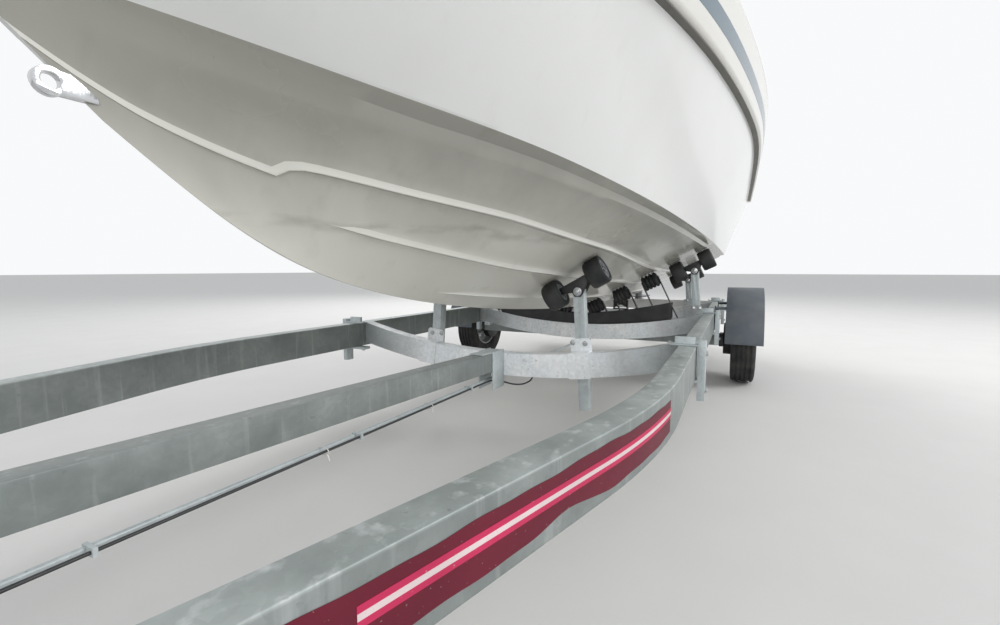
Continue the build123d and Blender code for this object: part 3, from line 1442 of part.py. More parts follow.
def towing_eyes(hull_body):
    stem = fore(section_at(STEM, EYE_Z)) + EYE_AHEAD
    made = [eye(stem, 0, EYE_Z, -60) - hull_body]
    for y, z in STERN_EYES:
        made.append(eye(fore(section_at(TRANSOM, z)) - EYE_AHEAD, y, z, 50) - hull_body)
    return Compound([largest(piece) for piece in made])


def cleat():
    """A base on the deck, two short posts and a horn with tapered ends."""
    half, top = CLEAT_LENGTH / 2, CLEAT_HEIGHT
    horn = [(-half, top - 3), (-half / 2, top - 12), (half / 2, top - 12), (half, top - 3), (half, top + 3)]
    horn += [(half / 2, top), (-half / 2, top), (-half, top + 3)]
    body = slab(-half / 2, half / 2, -22, 22, -12, 5) + plate_xz(horn, -8, 8)
    for end in (1, -1):
        body += Pos(end * half / 4, 0, top / 2) * Cylinder(8, top - 8)
    return body


def cleats(deck_body):
    made = []
    for station, y in CLEATS:
        made.append(largest(Pos(fore(station), y, deck_height(station, y)) * cleat() - deck_body))
    return Compound(made)


def main():
    save("side_rail_port", side_rail(1))
    save("side_rail_starboard", side_rail(-1))
    save("drawbar", drawbar())
    save("drawbar_bracket", drawbar_bracket())
    for name, station, middle, rise, clamp in CROSSMEMBERS:
        save(name, crossmember(station, middle, rise))
    save("rail_clamps", rail_clamps())
    save("roller_posts", roller_posts())
    save("post_clamps", post_clamps())
    save("roller_rockers", rockers())
    save("side_rollers", side_rollers())
    save("roller_brackets", roller_brackets())
    save("centre_rollers", centre_rollers())
    save("axle_beam", axle_beam())
    save("trailing_arms", trailing_arms())
    for name, side in (("port", 1), ("starboard", -1)):
        save("tyre_" + name, tyre(side))
        save("rim_" + name, rim(side))
        save("mudguard_" + name, mudguard(side))
    save("coupling_head", coupling_head())
    save("overrun_housing", overrun_housing())
    save("brake_rod", brake_rod())
    save("wiring", wiring())
    save("wiring_plug", wiring_plug())
    save("jockey_clamp", jockey_clamp())
    save("jockey_sleeve", jockey_sleeve())
    save("jockey_slide", jockey_slide())
    save("jockey_fork", jockey_fork())
    save("jockey_wheel", jockey_wheel())
    save("winch_post", winch_post())
    save("winch_frame", winch_frame())
    save("winch_drum", winch_drum())
    save("bow_roller", bow_roller())
    save("lamp_board", lamp_board())
    save("lamps", lamps())
    hull_body, deck_body = hull(), deck()
    save("hull", hull_body)
    save("towing_eyes", towing_eyes(hull_body))
    save("deck", deck_body)
    save("cleats", cleats(deck_body))
    frame, glass = windscreen(deck_body)
    save("windscreen_frame", frame)
    save("windscreen_glass", glass)
    save("anchor_lid", anchor_lid())
    save("dash", dash())
    save("steering_wheel", steering_wheel())
    save("seat_bases", seat_bases())
    save("seat_pads", seat_pads())
    save("bench_base", bench_base())
    save("bench_pads", bench_pads())
    save("transom_bracket", transom_bracket())
    save("swivel_bracket", swivel_bracket())
    save("engine_leg", engine_leg())
    save("engine_cowl", engine_cowl())
    save("engine_block", engine_block())
    save("propeller", propeller())


os.makedirs("parts", exist_ok=True)
main()
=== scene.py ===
# %% [markdown]
# # A speedboat on its roller trailer
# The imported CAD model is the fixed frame. Each visible piece is dressed round it: the hull and deck
# mouldings get their fair curves, the galvanised frame its rounded tubes, clamps and bolts, and the
# cushions their stuffing. Every place is in metres: +X is forward, +Y is port and +Z is up.

# %% The tools and the frame
import json
import math

import bpy
from mathutils import Matrix, Vector

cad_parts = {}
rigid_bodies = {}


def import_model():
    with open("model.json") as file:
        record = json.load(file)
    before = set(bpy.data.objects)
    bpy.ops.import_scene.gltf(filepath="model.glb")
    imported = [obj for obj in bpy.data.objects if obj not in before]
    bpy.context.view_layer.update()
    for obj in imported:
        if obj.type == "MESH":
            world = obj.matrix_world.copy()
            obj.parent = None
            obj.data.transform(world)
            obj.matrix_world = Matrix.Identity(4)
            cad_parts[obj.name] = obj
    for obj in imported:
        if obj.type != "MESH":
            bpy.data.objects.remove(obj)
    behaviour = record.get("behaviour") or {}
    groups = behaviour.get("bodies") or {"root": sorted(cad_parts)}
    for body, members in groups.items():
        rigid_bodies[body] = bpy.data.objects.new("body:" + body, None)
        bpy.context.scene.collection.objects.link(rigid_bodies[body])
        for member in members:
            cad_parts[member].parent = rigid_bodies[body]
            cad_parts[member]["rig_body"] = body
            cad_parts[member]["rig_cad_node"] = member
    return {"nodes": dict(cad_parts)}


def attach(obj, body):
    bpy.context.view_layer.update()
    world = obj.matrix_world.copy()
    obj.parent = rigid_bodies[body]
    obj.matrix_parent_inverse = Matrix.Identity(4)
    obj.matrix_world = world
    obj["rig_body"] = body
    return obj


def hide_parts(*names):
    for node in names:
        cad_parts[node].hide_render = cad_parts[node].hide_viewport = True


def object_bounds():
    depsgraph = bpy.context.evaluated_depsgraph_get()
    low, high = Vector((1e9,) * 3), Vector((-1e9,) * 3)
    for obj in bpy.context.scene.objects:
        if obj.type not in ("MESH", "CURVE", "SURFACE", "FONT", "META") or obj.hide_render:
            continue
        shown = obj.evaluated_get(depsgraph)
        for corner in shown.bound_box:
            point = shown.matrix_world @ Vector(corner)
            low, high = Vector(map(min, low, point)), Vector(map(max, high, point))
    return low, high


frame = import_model()
cad_low, cad_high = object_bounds()
print("CAD box", [round(v, 3) for v in (*cad_low, *cad_high)])

# %% [markdown]
# The photograph was taken from a low place beside the drawbar, looking aft under the bow with a wide
# lens. The camera's place was worked out from the rails, which are level and parallel, so it is a
# plain position, a turn to starboard and a small tilt down.

# %% The camera
# Where the lens is, its turn to starboard, its dip below level and its length in millimetres
EYE = Vector((1.525, 0.95, 0.755))
EYE_TURN = math.radians(26.807)
EYE_DIP = math.radians(5.299)
LENS = 16.884

forward = Vector(
    (-math.cos(EYE_TURN) * math.cos(EYE_DIP), -math.sin(EYE_TURN) * math.cos(EYE_DIP), -math.sin(EYE_DIP))
)
camera_data = bpy.data.cameras.new("eye")
camera_data.lens = LENS
camera_data.sensor_width = 36
camera_data.clip_start = 0.02
camera = bpy.data.objects.new("eye", camera_data)
bpy.context.scene.collection.objects.link(camera)
camera.location = EYE
camera.rotation_mode = "QUATERNION"
camera.rotation_quaternion = forward.to_track_quat("-Z", "Y")
bpy.context.scene.camera = camera
bpy.context.scene.view_settings.view_transform = "Standard"
print("camera at", tuple(EYE))

# %% [markdown]
# A material here is a Principled surface whose colour, roughness and bump come from noise read on
# Object coordinates, so a pattern stays put on its piece. One helper starts each material and a few
# more add a noise, a band or a mix, which keeps each finish below to a few lines.


# %% Helpers for materials
def surface(name, roughness=0.5, metallic=0.0, coat=0.0, coat_roughness=0.1):
    material = bpy.data.materials.new(name)
    material.use_nodes = True
    tree = material.node_tree
    shader = tree.nodes["Principled BSDF"]
    shader.inputs["Roughness"].default_value = roughness
    shader.inputs["Metallic"].default_value = metallic
    shader.inputs["Coat Weight"].default_value = coat
    shader.inputs["Coat Roughness"].default_value = coat_roughness
    place = tree.nodes.new("ShaderNodeTexCoord")
    return material, tree, shader, place.outputs["Object"]


def stretched(tree, place, scale):
    mapping = tree.nodes.new("ShaderNodeMapping")
    mapping.inputs["Scale"].default_value = scale
    tree.links.new(place, mapping.inputs["Vector"])
    return mapping.outputs["Vector"]


def noise(tree, place, scale, detail=4.0, rough=0.55):
    texture = tree.nodes.new("ShaderNodeTexNoise")
    texture.inputs["Scale"].default_value = scale
    texture.inputs["Detail"].default_value = detail
    texture.inputs["Roughness"].default_value = rough
    tree.links.new(place, texture.inputs["Vector"])
    return texture.outputs["Fac"]


def cells(tree, place, scale, feature="F1", output="Color"):
    texture = tree.nodes.new("ShaderNodeTexVoronoi")
    texture.feature = feature
    texture.inputs["Scale"].default_value = scale
    tree.links.new(place, texture.inputs["Vector"])
    return texture.outputs[output]


def spread(tree, value, low, high, to_low=0.0, to_high=1.0):
    node = tree.nodes.new("ShaderNodeMapRange")
    node.inputs["From Min"].default_value = low
    node.inputs["From Max"].default_value = high
    node.inputs["To Min"].default_value = to_low
    node.inputs["To Max"].default_value = to_high
    tree.links.new(value, node.inputs["Value"])
    return node.outputs["Result"]


def sums(tree, operation, a, b):
    node = tree.nodes.new("ShaderNodeMath")
    node.operation = operation
    for socket, value in zip(node.inputs, (a, b)):
        if isinstance(value, (int, float)):
            socket.default_value = value
        else:
            tree.links.new(value, socket)
    return node.outputs["Value"]


def mixed(tree, share, a, b):
    node = tree.nodes.new("ShaderNodeMix")
    node.data_type = "RGBA"
    if isinstance(share, (int, float)):
        node.inputs["Factor"].default_value = share
    else:
        tree.links.new(share, node.inputs["Factor"])
    for name, value in (("A", a), ("B", b)):
        socket = next(s for s in node.inputs if s.name == name and s.type == "RGBA")
        if isinstance(value, tuple):
            socket.default_value = (*value, 1)
        else:
            tree.links.new(value, socket)
    return next(s for s in node.outputs if s.type == "RGBA")


def bumped(tree, shader, height, distance, strength=1.0):
    node = tree.nodes.new("ShaderNodeBump")
    node.inputs["Distance"].default_value = distance
    node.inputs["Strength"].default_value = strength
    tree.links.new(height, node.inputs["Height"])
    tree.links.new(node.outputs["Normal"], shader.inputs["Normal"])


def axis_of(tree, place, axis):
    node = tree.nodes.new("ShaderNodeSeparateXYZ")
    tree.links.new(place, node.inputs["Vector"])
    return node.outputs[axis]


# %% [markdown]
# Hot-dip galvanising freezes in crystals a few millimetres wide, each its own grey, under a duller
# bloom with pale runs where the molten zinc ran down. Cells give the crystals, a coarse noise the
# bloom, and a noise squeezed in X and Y but long in Z gives the runs.


# %% Galvanised steel, new and weathered
# Scales of the crystals, the bloom, the runs along each axis and the spots
CRYSTALS, BLOOM, ZINC_RUNS, SPOTS = 85, 7, (34, 34, 2.4), 60
# Colours of the runs, the sides in painted shade, the darkening towards the ends and the spots
RUN_GREY, PAINTED_SIDE_GREY = (0.62, 0.65, 0.64), (0.09, 0.10, 0.095)
OUTER_GREY, SPOT_GREY = (0.20, 0.22, 0.22), (0.16, 0.17, 0.16)
# How far below the top the painted shade on the sides is full, how far the darkening towards the
# ends takes to grow, and how strong each is
SIDE_FADE, OUTER_FADE, SIDE_SHADE, OUTER_DARKEN = 0.004, 0.3, 0.42, 0.8


def galvanised(name, light, dark, runs, shine=0.3, darker_beyond=0.0, shaded_below=0.0):
    """Two greys, the runs' strength; if given, painted shade below a height and darker beyond an offset."""
    material, tree, shader, place = surface(name, roughness=0.5, metallic=shine)
    crystals = axis_of(tree, cells(tree, place, CRYSTALS), "X")
    bloom = spread(tree, noise(tree, place, BLOOM, 6), 0.35, 0.7)
    base = mixed(tree, bloom, dark, light)
    flecked = mixed(tree, spread(tree, crystals, 0, 1, 0, 0.35), base, tuple(0.55 * v for v in light))
    streak = noise(tree, stretched(tree, place, ZINC_RUNS), 1, 5)
    pale = mixed(tree, spread(tree, streak, 0.56, 0.72, 0, runs), flecked, RUN_GREY)
    spots = spread(tree, noise(tree, place, SPOTS, 3), 0.66, 0.74, 0, 0.5)
    # Painted shade: faces below the given height are darkened, standing in for shade on the sides
    if shaded_below:
        up = axis_of(tree, place, "Z")
        side = spread(tree, up, shaded_below - SIDE_FADE, shaded_below, SIDE_SHADE, 0)
        pale = mixed(tree, side, pale, PAINTED_SIDE_GREY)
    # Darker towards the ends, beyond an offset from the centre line, its edge made uneven by the bloom
    if darker_beyond:
        out = sums(tree, "ABSOLUTE", axis_of(tree, place, "Y"), 0)
        edge = sums(tree, "ADD", out, sums(tree, "MULTIPLY", bloom, 0.12))
        outer_dark = spread(tree, edge, darker_beyond, darker_beyond + OUTER_FADE, 0, OUTER_DARKEN)
        pale = mixed(tree, outer_dark, pale, OUTER_GREY)
    tree.links.new(mixed(tree, spots, pale, SPOT_GREY), shader.inputs["Base Color"])
    tree.links.new(spread(tree, bloom, 0, 1, 0.38, 0.6), shader.inputs["Roughness"])
    bumped(tree, shader, sums(tree, "ADD", crystals, sums(tree, "MULTIPLY", streak, 3.0)), 0.0004, 0.5)
    return material


# Every face of this finish below the rails' top, such as the rails' sides, carries painted shade
RAIL_ZINC = galvanised("weathered zinc, painted side shade", (0.47, 0.51, 0.495), (0.25, 0.285, 0.275), 0.7, 0.2, 0, 0.479)
# Nearly white: partly the crossmembers' brighter zinc, partly a painted reflection of the sky ahead
CROSS_ZINC = galvanised("bright zinc", (1.0, 1.0, 1.0), (0.82, 0.87, 0.90), 0.35, 0.05, 0.42)
POST_ZINC = galvanised("clean zinc", (0.60, 0.65, 0.66), (0.43, 0.475, 0.48), 0.35, 0.2)
print("zinc finishes made")

# %% [markdown]
# Gelcoat is a thick glossy resin skin, so it takes a clear coat over a colour that is nearly even.
# Below the chine the hull is the same gelcoat, dulled to a warm grey by water: a soft dirt noise, a
# faint scum line at the float level and a few runs. Just under the chine it is darker as painted
# shade, which reaches lower at the bow, and the strakes' lips are a lighter gelcoat as a painted
# highlight. The faces choose the finish by material slot.


# %% Gelcoat finishes
WATER_LINE = 0.865
# The chine's height amidships, and how much it climbs for each metre forward
CHINE_HEIGHT, CHINE_CLIMB = 1.045, 0.14
# How much lower the painted shade under the chine reaches at the bow
BOW_SHADE = 0.12
# How far under the chine the painted shade reaches, how strong it is, and its colour
CHINE_SHADE_REACH, CHINE_SHADE_MIX, CHINE_SHADE_BROWN = 0.25, 0.62, (0.15, 0.148, 0.128)
# Height of the waves in the scum line, distance at which it has faded, and its colour
SCUM_WAVE, SCUM_FADE, SCUM_GREY = 0.012, 0.016, (0.36, 0.35, 0.31)


def gelcoat(name, colour, dirt, amount, scum=0.0, coat=0.5):
    """A colour under so much dirt; where scum is more than none, a scum line and painted chine shade."""
    material, tree, shader, place = surface(name, roughness=0.28, coat=coat, coat_roughness=0.08)
    cloud = spread(tree, noise(tree, place, 2.2, 5), 0.42, 0.75, 0, amount)
    runs = spread(tree, noise(tree, stretched(tree, place, (16, 16, 1.6)), 1, 5), 0.58, 0.8, 0, amount)
    base = mixed(tree, sums(tree, "MAXIMUM", cloud, runs), colour, dirt)
    if scum:
        ripple = noise(tree, stretched(tree, place, (5, 5, 1)), 1, 4)
        wave = spread(tree, ripple, 0.3, 0.7, -SCUM_WAVE, SCUM_WAVE)
        height = sums(tree, "ADD", axis_of(tree, place, "Z"), wave)
        away = sums(tree, "ABSOLUTE", sums(tree, "SUBTRACT", height, WATER_LINE), 0)
        patchy = spread(tree, noise(tree, stretched(tree, place, (9, 9, 30)), 1, 4), 0.4, 0.62, 0, scum)
        line = sums(tree, "MULTIPLY", spread(tree, away, 0.003, SCUM_FADE, 1, 0), patchy)
        base = mixed(tree, line, base, SCUM_GREY)
        # Painted shade: darker just under the chine, fading downward and reaching lower towards the bow
        ahead = axis_of(tree, place, "X")
        chine = sums(tree, "ADD", sums(tree, "MULTIPLY", ahead, CHINE_CLIMB), CHINE_HEIGHT)
        below = sums(tree, "SUBTRACT", chine, axis_of(tree, place, "Z"))
        below = sums(tree, "SUBTRACT", below, spread(tree, ahead, 0.1, 0.9, 0, BOW_SHADE))
        uneven = sums(tree, "ADD", below, sums(tree, "MULTIPLY", wave, 3.0))
        # The share of the gelcoat out of the painted shade, full at a reach below the chine
        clean = spread(tree, uneven, 0.0, CHINE_SHADE_REACH)
        base = mixed(tree, clean, mixed(tree, CHINE_SHADE_MIX, base, CHINE_SHADE_BROWN), base)
    tree.links.new(base, shader.inputs["Base Color"])
    bumped(tree, shader, noise(tree, place, 160, 2), 0.0002, 0.25)
    tree.links.new(spread(tree, cloud, 0, 1, 0.22, 0.42), shader.inputs["Roughness"])
    return material


# Each with its colour, its dirt and how much of it
TOPSIDE = gelcoat("white gelcoat", (0.74, 0.745, 0.73), (0.62, 0.615, 0.585), 0.25)
# The bottom's warm stain is its own colour; the darkening under the chine is painted shade
BOTTOM = gelcoat("stained gelcoat, painted chine shade", (0.64, 0.625, 0.565), (0.50, 0.48, 0.41), 0.5, 0.5, 0.2)
BAND = gelcoat("warm white gelcoat", (0.68, 0.67, 0.63), (0.56, 0.54, 0.50), 0.3)
# A lighter gelcoat on the strakes' lips, a painted highlight where they face the light
LIP_HIGHLIGHT = gelcoat("gelcoat lip, painted highlight", (0.70, 0.69, 0.635), (0.58, 0.565, 0.51), 0.4)
STRIPE = gelcoat("slate blue stripe", (0.075, 0.13, 0.17), (0.10, 0.15, 0.18), 0.3)


def non_skid():
    material, tree, shader, place = surface("moulded grip pattern", roughness=0.62)
    pips = cells(tree, place, 260, "F1", "Distance")
    cloud = spread(tree, noise(tree, place, 5, 5), 0.4, 0.75, 0, 0.5)
    tree.links.new(mixed(tree, cloud, (0.62, 0.62, 0.58), (0.50, 0.49, 0.45)), shader.inputs["Base Color"])
    bumped(tree, shader, spread(tree, pips, 0, 0.6, 1, 0), 0.0012, 0.6)
    return material


GRIP = non_skid()
print("gelcoat finishes made")

# %% [markdown]
# Rubber and plastic are dull and nearly black, and what makes them real is dust: a paler grey in
# broad patches, and a fine grain. One function with its colours, grain and gloss serves for all.


# %% Rubber, plastic, paint and metal
def moulded(name, colour, dust, amount, roughness, grain=240, depth=0.0002, metallic=0.0, coat=0.0):
    material, tree, shader, place = surface(name, roughness, metallic, coat)
    patches = spread(tree, noise(tree, place, 9, 6), 0.4, 0.75, 0, amount)
    tree.links.new(mixed(tree, patches, colour, dust), shader.inputs["Base Color"])
    fine = noise(tree, place, grain, 3)
    dulled = spread(tree, fine, 0.3, 0.7, roughness - 0.06, roughness + 0.08)
    tree.links.new(dulled, shader.inputs["Roughness"])
    bumped(tree, shader, fine, depth, 0.6)
    return material


# Each with its colour, its dust and how much of it, its roughness, and its grain where it isn't fine
RUBBER = moulded("black roller rubber", (0.012, 0.013, 0.014), (0.075, 0.075, 0.07), 0.6, 0.62)
TYRE = moulded("tyre rubber", (0.014, 0.014, 0.015), (0.10, 0.095, 0.085), 0.6, 0.78, 180, 0.0004)
BLACK_PAINT = moulded("satin black paint", (0.014, 0.014, 0.016), (0.06, 0.06, 0.058), 0.5, 0.42)
HUB = moulded("grey hub moulding", (0.16, 0.17, 0.175), (0.24, 0.24, 0.235), 0.6, 0.45)
GUARD = moulded("slate grey mudguard", (0.085, 0.10, 0.12), (0.17, 0.175, 0.17), 0.6, 0.5, 320)
WHEEL_PAINT = moulded(
    "silver wheel paint", (0.42, 0.43, 0.44), (0.26, 0.25, 0.235), 0.5, 0.36, metallic=0.5
)
BOARD = moulded("white board paint", (0.66, 0.66, 0.64), (0.45, 0.44, 0.41), 0.45, 0.4)
PLASTIC = moulded("black plastic", (0.02, 0.021, 0.023), (0.06, 0.06, 0.06), 0.4, 0.46)
ENGINE = moulded(
    "dark engine paint", (0.022, 0.026, 0.032), (0.05, 0.052, 0.055), 0.3, 0.24, 400, 0.0001, coat=0.7
)
LEG = moulded("dark casting paint", (0.028, 0.032, 0.038), (0.09, 0.09, 0.09), 0.5, 0.36, 300, 0.0002)
CASTING = moulded("bare casting", (0.20, 0.20, 0.20), (0.10, 0.10, 0.095), 0.5, 0.5, metallic=0.6)
STAINLESS = moulded("stainless steel", (0.60, 0.61, 0.62), (0.42, 0.43, 0.44), 0.3, 0.16, metallic=1.0)
ZINC_BOLT = moulded("zinc bolt", (0.50, 0.51, 0.52), (0.30, 0.30, 0.29), 0.4, 0.3, metallic=0.9)
LENS_RED = moulded(
    "red lamp lens", (0.32, 0.012, 0.012), (0.16, 0.01, 0.01), 0.5, 0.14, 90, 0.0003, coat=0.6
)
VINYL = moulded("cream vinyl", (0.62, 0.60, 0.545), (0.46, 0.44, 0.39), 0.35, 0.46, 420, 0.0003)
LINER = moulded("cockpit liner", (0.68, 0.68, 0.655), (0.52, 0.51, 0.48), 0.35, 0.34, coat=0.3)


def screen():
    material, tree, shader, place = surface("tinted screen", roughness=0.03)
    film = spread(tree, noise(tree, place, 4, 4), 0.45, 0.8, 0.02, 0.14)
    tree.links.new(film, shader.inputs["Roughness"])
    tree.links.new(mixed(tree, film, (0.52, 0.60, 0.62), (0.66, 0.68, 0.66)), shader.inputs["Base Color"])
    shader.inputs["Transmission Weight"].default_value = 0.92
    shader.inputs["IOR"].default_value = 1.49
    return material


SCREEN = screen()
print("materials made:", len(bpy.data.materials))

# %% [markdown]
# The floor is a plain pale sheet that takes the shadow. The sky is an even soft dome, and two wide
# lamps stand for the brighter side of an overcast sky, one off the port side and one from aft. A
# third, well ahead, lights the faces that look forward.

# %% Floor and light
FLOOR_SIZE = 160
bpy.ops.object.select_all(action="DESELECT")
bpy.ops.mesh.primitive_plane_add(size=FLOOR_SIZE, location=(0, 0, 0))
floor = bpy.context.object
floor.name = "floor"
floor_material, floor_tree, floor_shader, floor_place = surface("pale floor", roughness=0.9)
floor_tint = mixed(floor_tree, noise(floor_tree, floor_place, 3, 8), (0.64, 0.63, 0.61), (0.70, 0.69, 0.67))
floor_tree.links.new(floor_tint, floor_shader.inputs["Base Color"])
floor.data.materials.append(floor_material)

sky = bpy.data.worlds.new("overcast")
sky.use_nodes = True
bpy.context.scene.world = sky
sky_tree = sky.node_tree
sky_light = sky_tree.nodes["Background"]
sky_light.inputs["Color"].default_value = (0.93, 0.96, 1.0, 1)
sky_light.inputs["Strength"].default_value = 0.75
sky_seen = sky_tree.nodes.new("ShaderNodeBackground")
sky_seen.inputs["Color"].default_value = (0.94, 0.95, 0.96, 1)
ray = sky_tree.nodes.new("ShaderNodeLightPath")
# The lens, mirrors and glass see a paler sky than the one that lights the scene
seen = sums(sky_tree, "MAXIMUM", ray.outputs["Is Camera Ray"], ray.outputs["Is Glossy Ray"])
seen = sums(sky_tree, "MAXIMUM", seen, ray.outputs["Is Transmission Ray"])
sky_mix = sky_tree.nodes.new("ShaderNodeMixShader")
sky_tree.links.new(seen, sky_mix.inputs[0])
sky_tree.links.new(sky_light.outputs[0], sky_mix.inputs[1])
sky_tree.links.new(sky_seen.outputs[0], sky_mix.inputs[2])
sky_tree.links.new(sky_mix.outputs[0], sky_tree.nodes["World Output"].inputs[0])


def lamp(name, place, target, size, watts):
    data = bpy.data.lights.new(name, "AREA")
    data.shape = "DISK"
    data.size = size
    data.energy = watts
    light = bpy.data.objects.new(name, data)
    bpy.context.scene.collection.objects.link(light)
    light.location = place
    light.rotation_mode = "QUATERNION"
    light.rotation_quaternion = (Vector(target) - Vector(place)).to_track_quat("-Z", "Y")


# Name, place, what it shines on, width and power of each
lamp("port lamp", (-2.5, 9.0, 5.5), (-0.5, 0, 0.8), 5, 450)
lamp("stern lamp", (-7.5, -4.0, 7.0), (-1, 0, 0.6), 6, 420)
lamp("front lamp", (9.5, 4.0, 4.5), (-0.5, 0, 0.4), 6, 260)
print("floor, sky and lamps in place")

# %% [markdown]
# A CAD node arrives as loose triangles with knife-sharp edges. The usual way to finish one is to copy
# it, weld the corners, drop the needless edges, round what is left with a Bevel modifier and shade it
# smooth by angle. The copy then stands for the node and rides on the same body.


# %% Helpers for pieces
# The body that the boat and the trailer share
TRAILER = "boat_and_trailer"
SIDES = ((1, "port"), (-1, "starboard"))


def only(*chosen):
    bpy.ops.object.select_all(action="DESELECT")
    for piece in chosen:
        piece.select_set(True)
        bpy.context.view_layer.objects.active = piece


# A step that turns every face outward
OUTWARD = ("normals_make_consistent", {"inside": False})


def in_edit(piece, *steps):
    only(piece)
    bpy.ops.object.mode_set(mode="EDIT")
    bpy.ops.mesh.select_all(action="SELECT")
    for operator, options in steps:
        getattr(bpy.ops.mesh, operator)(**options)
    bpy.ops.object.mode_set(mode="OBJECT")


def modified(piece, kind, **settings):
    only(piece)
    modifier = piece.modifiers.new(kind.lower(), kind)
    for setting, value in settings.items():
        setattr(modifier, setting, value)
    bpy.ops.object.modifier_apply(modifier=modifier.name)


def smooth(piece, degrees):
    only(piece)
    bpy.ops.object.shade_smooth_by_angle(angle=math.radians(degrees))


def primitive(kind, name, **settings):
    bpy.ops.object.select_all(action="DESELECT")
    getattr(bpy.ops.mesh, "primitive_" + kind + "_add")(**settings)
    piece = bpy.context.object
    piece.name = name
    return piece


def settled(piece):
    """The piece with its place, turn and size written into its mesh."""
    only(piece)
    bpy.ops.object.transform_apply(location=True, rotation=True, scale=True)
    return piece


def joined(name, pieces):
    only(*pieces)
    if len(pieces) > 1:
        bpy.ops.object.join()
    piece = bpy.context.object
    piece.name = name
    return piece


def painted(piece, *materials):
    if len(materials) == 1:
        piece.data.materials.clear()
    for material in materials:
        piece.data.materials.append(material)


def placed(piece, body, slot, *nodes):
    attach(piece, body)
    if nodes:
        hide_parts(*nodes)
    return piece


def body_of(node):
    return frame["nodes"][node]["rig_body"]


def copied(node, name):
    only(frame["nodes"][node])
    bpy.ops.object.duplicate()
    piece = bpy.context.object
    piece.parent = None
    piece.name = name
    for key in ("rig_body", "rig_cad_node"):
        del piece[key]
    bpy.ops.mesh.customdata_custom_splitnormals_clear()
    in_edit(piece, ("remove_doubles", {"threshold": 0.00002}))
    in_edit(piece, ("dissolve_limited", {"angle_limit": math.radians(0.6)}))
    return piece


def bevelled(piece, width, steps, degrees):
    """Round only the edges that turn by more than some degrees."""
    limit = math.radians(degrees)
    modified(piece, "BEVEL", width=width, segments=steps, limit_method="ANGLE", angle_limit=limit)


def finished(node, material, slot, edge, steps):
    piece = copied(node, node + "_finished")
    if edge:
        bevelled(piece, edge, steps, 38)
    smooth(piece, 34)
    painted(piece, material)
    return placed(piece, body_of(node), slot, node)


# %% The pieces whose CAD shape is right
# One row for each: node, finish, slot, width of the rounded edge and its steps
ZINC = "galvanised_steel"
RIGHT = (
    ("side_rail_port", RAIL_ZINC, ZINC, 0.007, 3),
    ("side_rail_starboard", RAIL_ZINC, ZINC, 0.007, 3),
    ("drawbar", RAIL_ZINC, ZINC, 0.005, 2),
    ("crossmember_front", CROSS_ZINC, ZINC, 0.006, 3),
    ("crossmember_middle", CROSS_ZINC, ZINC, 0.006, 3),
    ("crossmember_rear", CROSS_ZINC, ZINC, 0.006, 3),
    ("drawbar_bracket", POST_ZINC, ZINC, 0.002, 2),
    ("post_clamps", CROSS_ZINC, ZINC, 0.0015, 2),
    ("rail_clamps", POST_ZINC, ZINC, 0.002, 2),
    ("roller_posts", POST_ZINC, ZINC, 0.004, 2),
    ("roller_rockers", BLACK_PAINT, "black_steel", 0.0015, 2),
    ("side_rollers", RUBBER, "black_rubber", 0.002, 2),
    ("roller_brackets", BLACK_PAINT, "black_steel", 0.0015, 2),
    ("centre_rollers", RUBBER, "black_rubber", 0.0015, 2),
    ("axle_beam", RAIL_ZINC, ZINC, 0.004, 2),
    ("trailing_arms", BLACK_PAINT, "black_steel", 0.003, 2),
    ("rim_port", WHEEL_PAINT, "wheel_steel", 0.0015, 2),
    ("rim_starboard", WHEEL_PAINT, "wheel_steel", 0.0015, 2),
    ("mudguard_port", GUARD, "mudguard_plastic", 0.0015, 2),
    ("mudguard_starboard", GUARD, "mudguard_plastic", 0.0015, 2),
    ("coupling_head", BLACK_PAINT, "black_steel", 0.003, 2),
    ("overrun_housing", RAIL_ZINC, ZINC, 0.003, 2),
    ("brake_rod", POST_ZINC, ZINC, 0, 2),
    ("wiring", PLASTIC, "black_plastic", 0, 2),
    ("wiring_plug", PLASTIC, "black_plastic", 0.001, 2),
    ("jockey_clamp", POST_ZINC, ZINC, 0.002, 2),
    ("jockey_sleeve", POST_ZINC, ZINC, 0.0015, 2),
    ("jockey_slide", POST_ZINC, ZINC, 0.001, 2),
    ("jockey_fork", POST_ZINC, ZINC, 0.0015, 2),
    ("jockey_wheel", RUBBER, "black_rubber", 0.002, 2),
    ("winch_post", POST_ZINC, ZINC, 0.003, 2),
    ("winch_frame", POST_ZINC, ZINC, 0.002, 2),
    ("winch_drum", BLACK_PAINT, "black_steel", 0.0015, 2),
    ("bow_roller", RUBBER, "black_rubber", 0.002, 2),
    ("lamp_board", BOARD, "board_paint", 0.003, 2),
    ("lamps", LENS_RED, "lamp_plastic", 0.004, 2),
    ("towing_eyes", STAINLESS, "stainless_steel", 0.003, 2),
    ("cleats", STAINLESS, "stainless_steel", 0.003, 3),
    ("windscreen_frame", STAINLESS, "stainless_steel", 0, 2),
    ("windscreen_glass", SCREEN, "screen_glass", 0, 2),
    ("anchor_lid", GRIP, "deck_gelcoat", 0.003, 2),
    ("dash", PLASTIC, "black_plastic", 0.008, 3),
    ("steering_wheel", PLASTIC, "black_plastic", 0.002, 2),
    ("seat_bases", LINER, "deck_gelcoat", 0.006, 2),
    ("bench_base", LINER, "deck_gelcoat", 0.01, 2),
    ("transom_bracket", LEG, "leg_paint", 0.003, 2),
    ("swivel_bracket", LEG, "leg_paint", 0.003, 2),
    ("engine_leg", LEG, "leg_paint", 0.004, 2),
    ("engine_cowl", ENGINE, "engine_paint", 0.004, 2),
    ("engine_block", CASTING, "engine_metal", 0.004, 2),
    ("propeller", STAINLESS, "engine_metal", 0.002, 2),
)
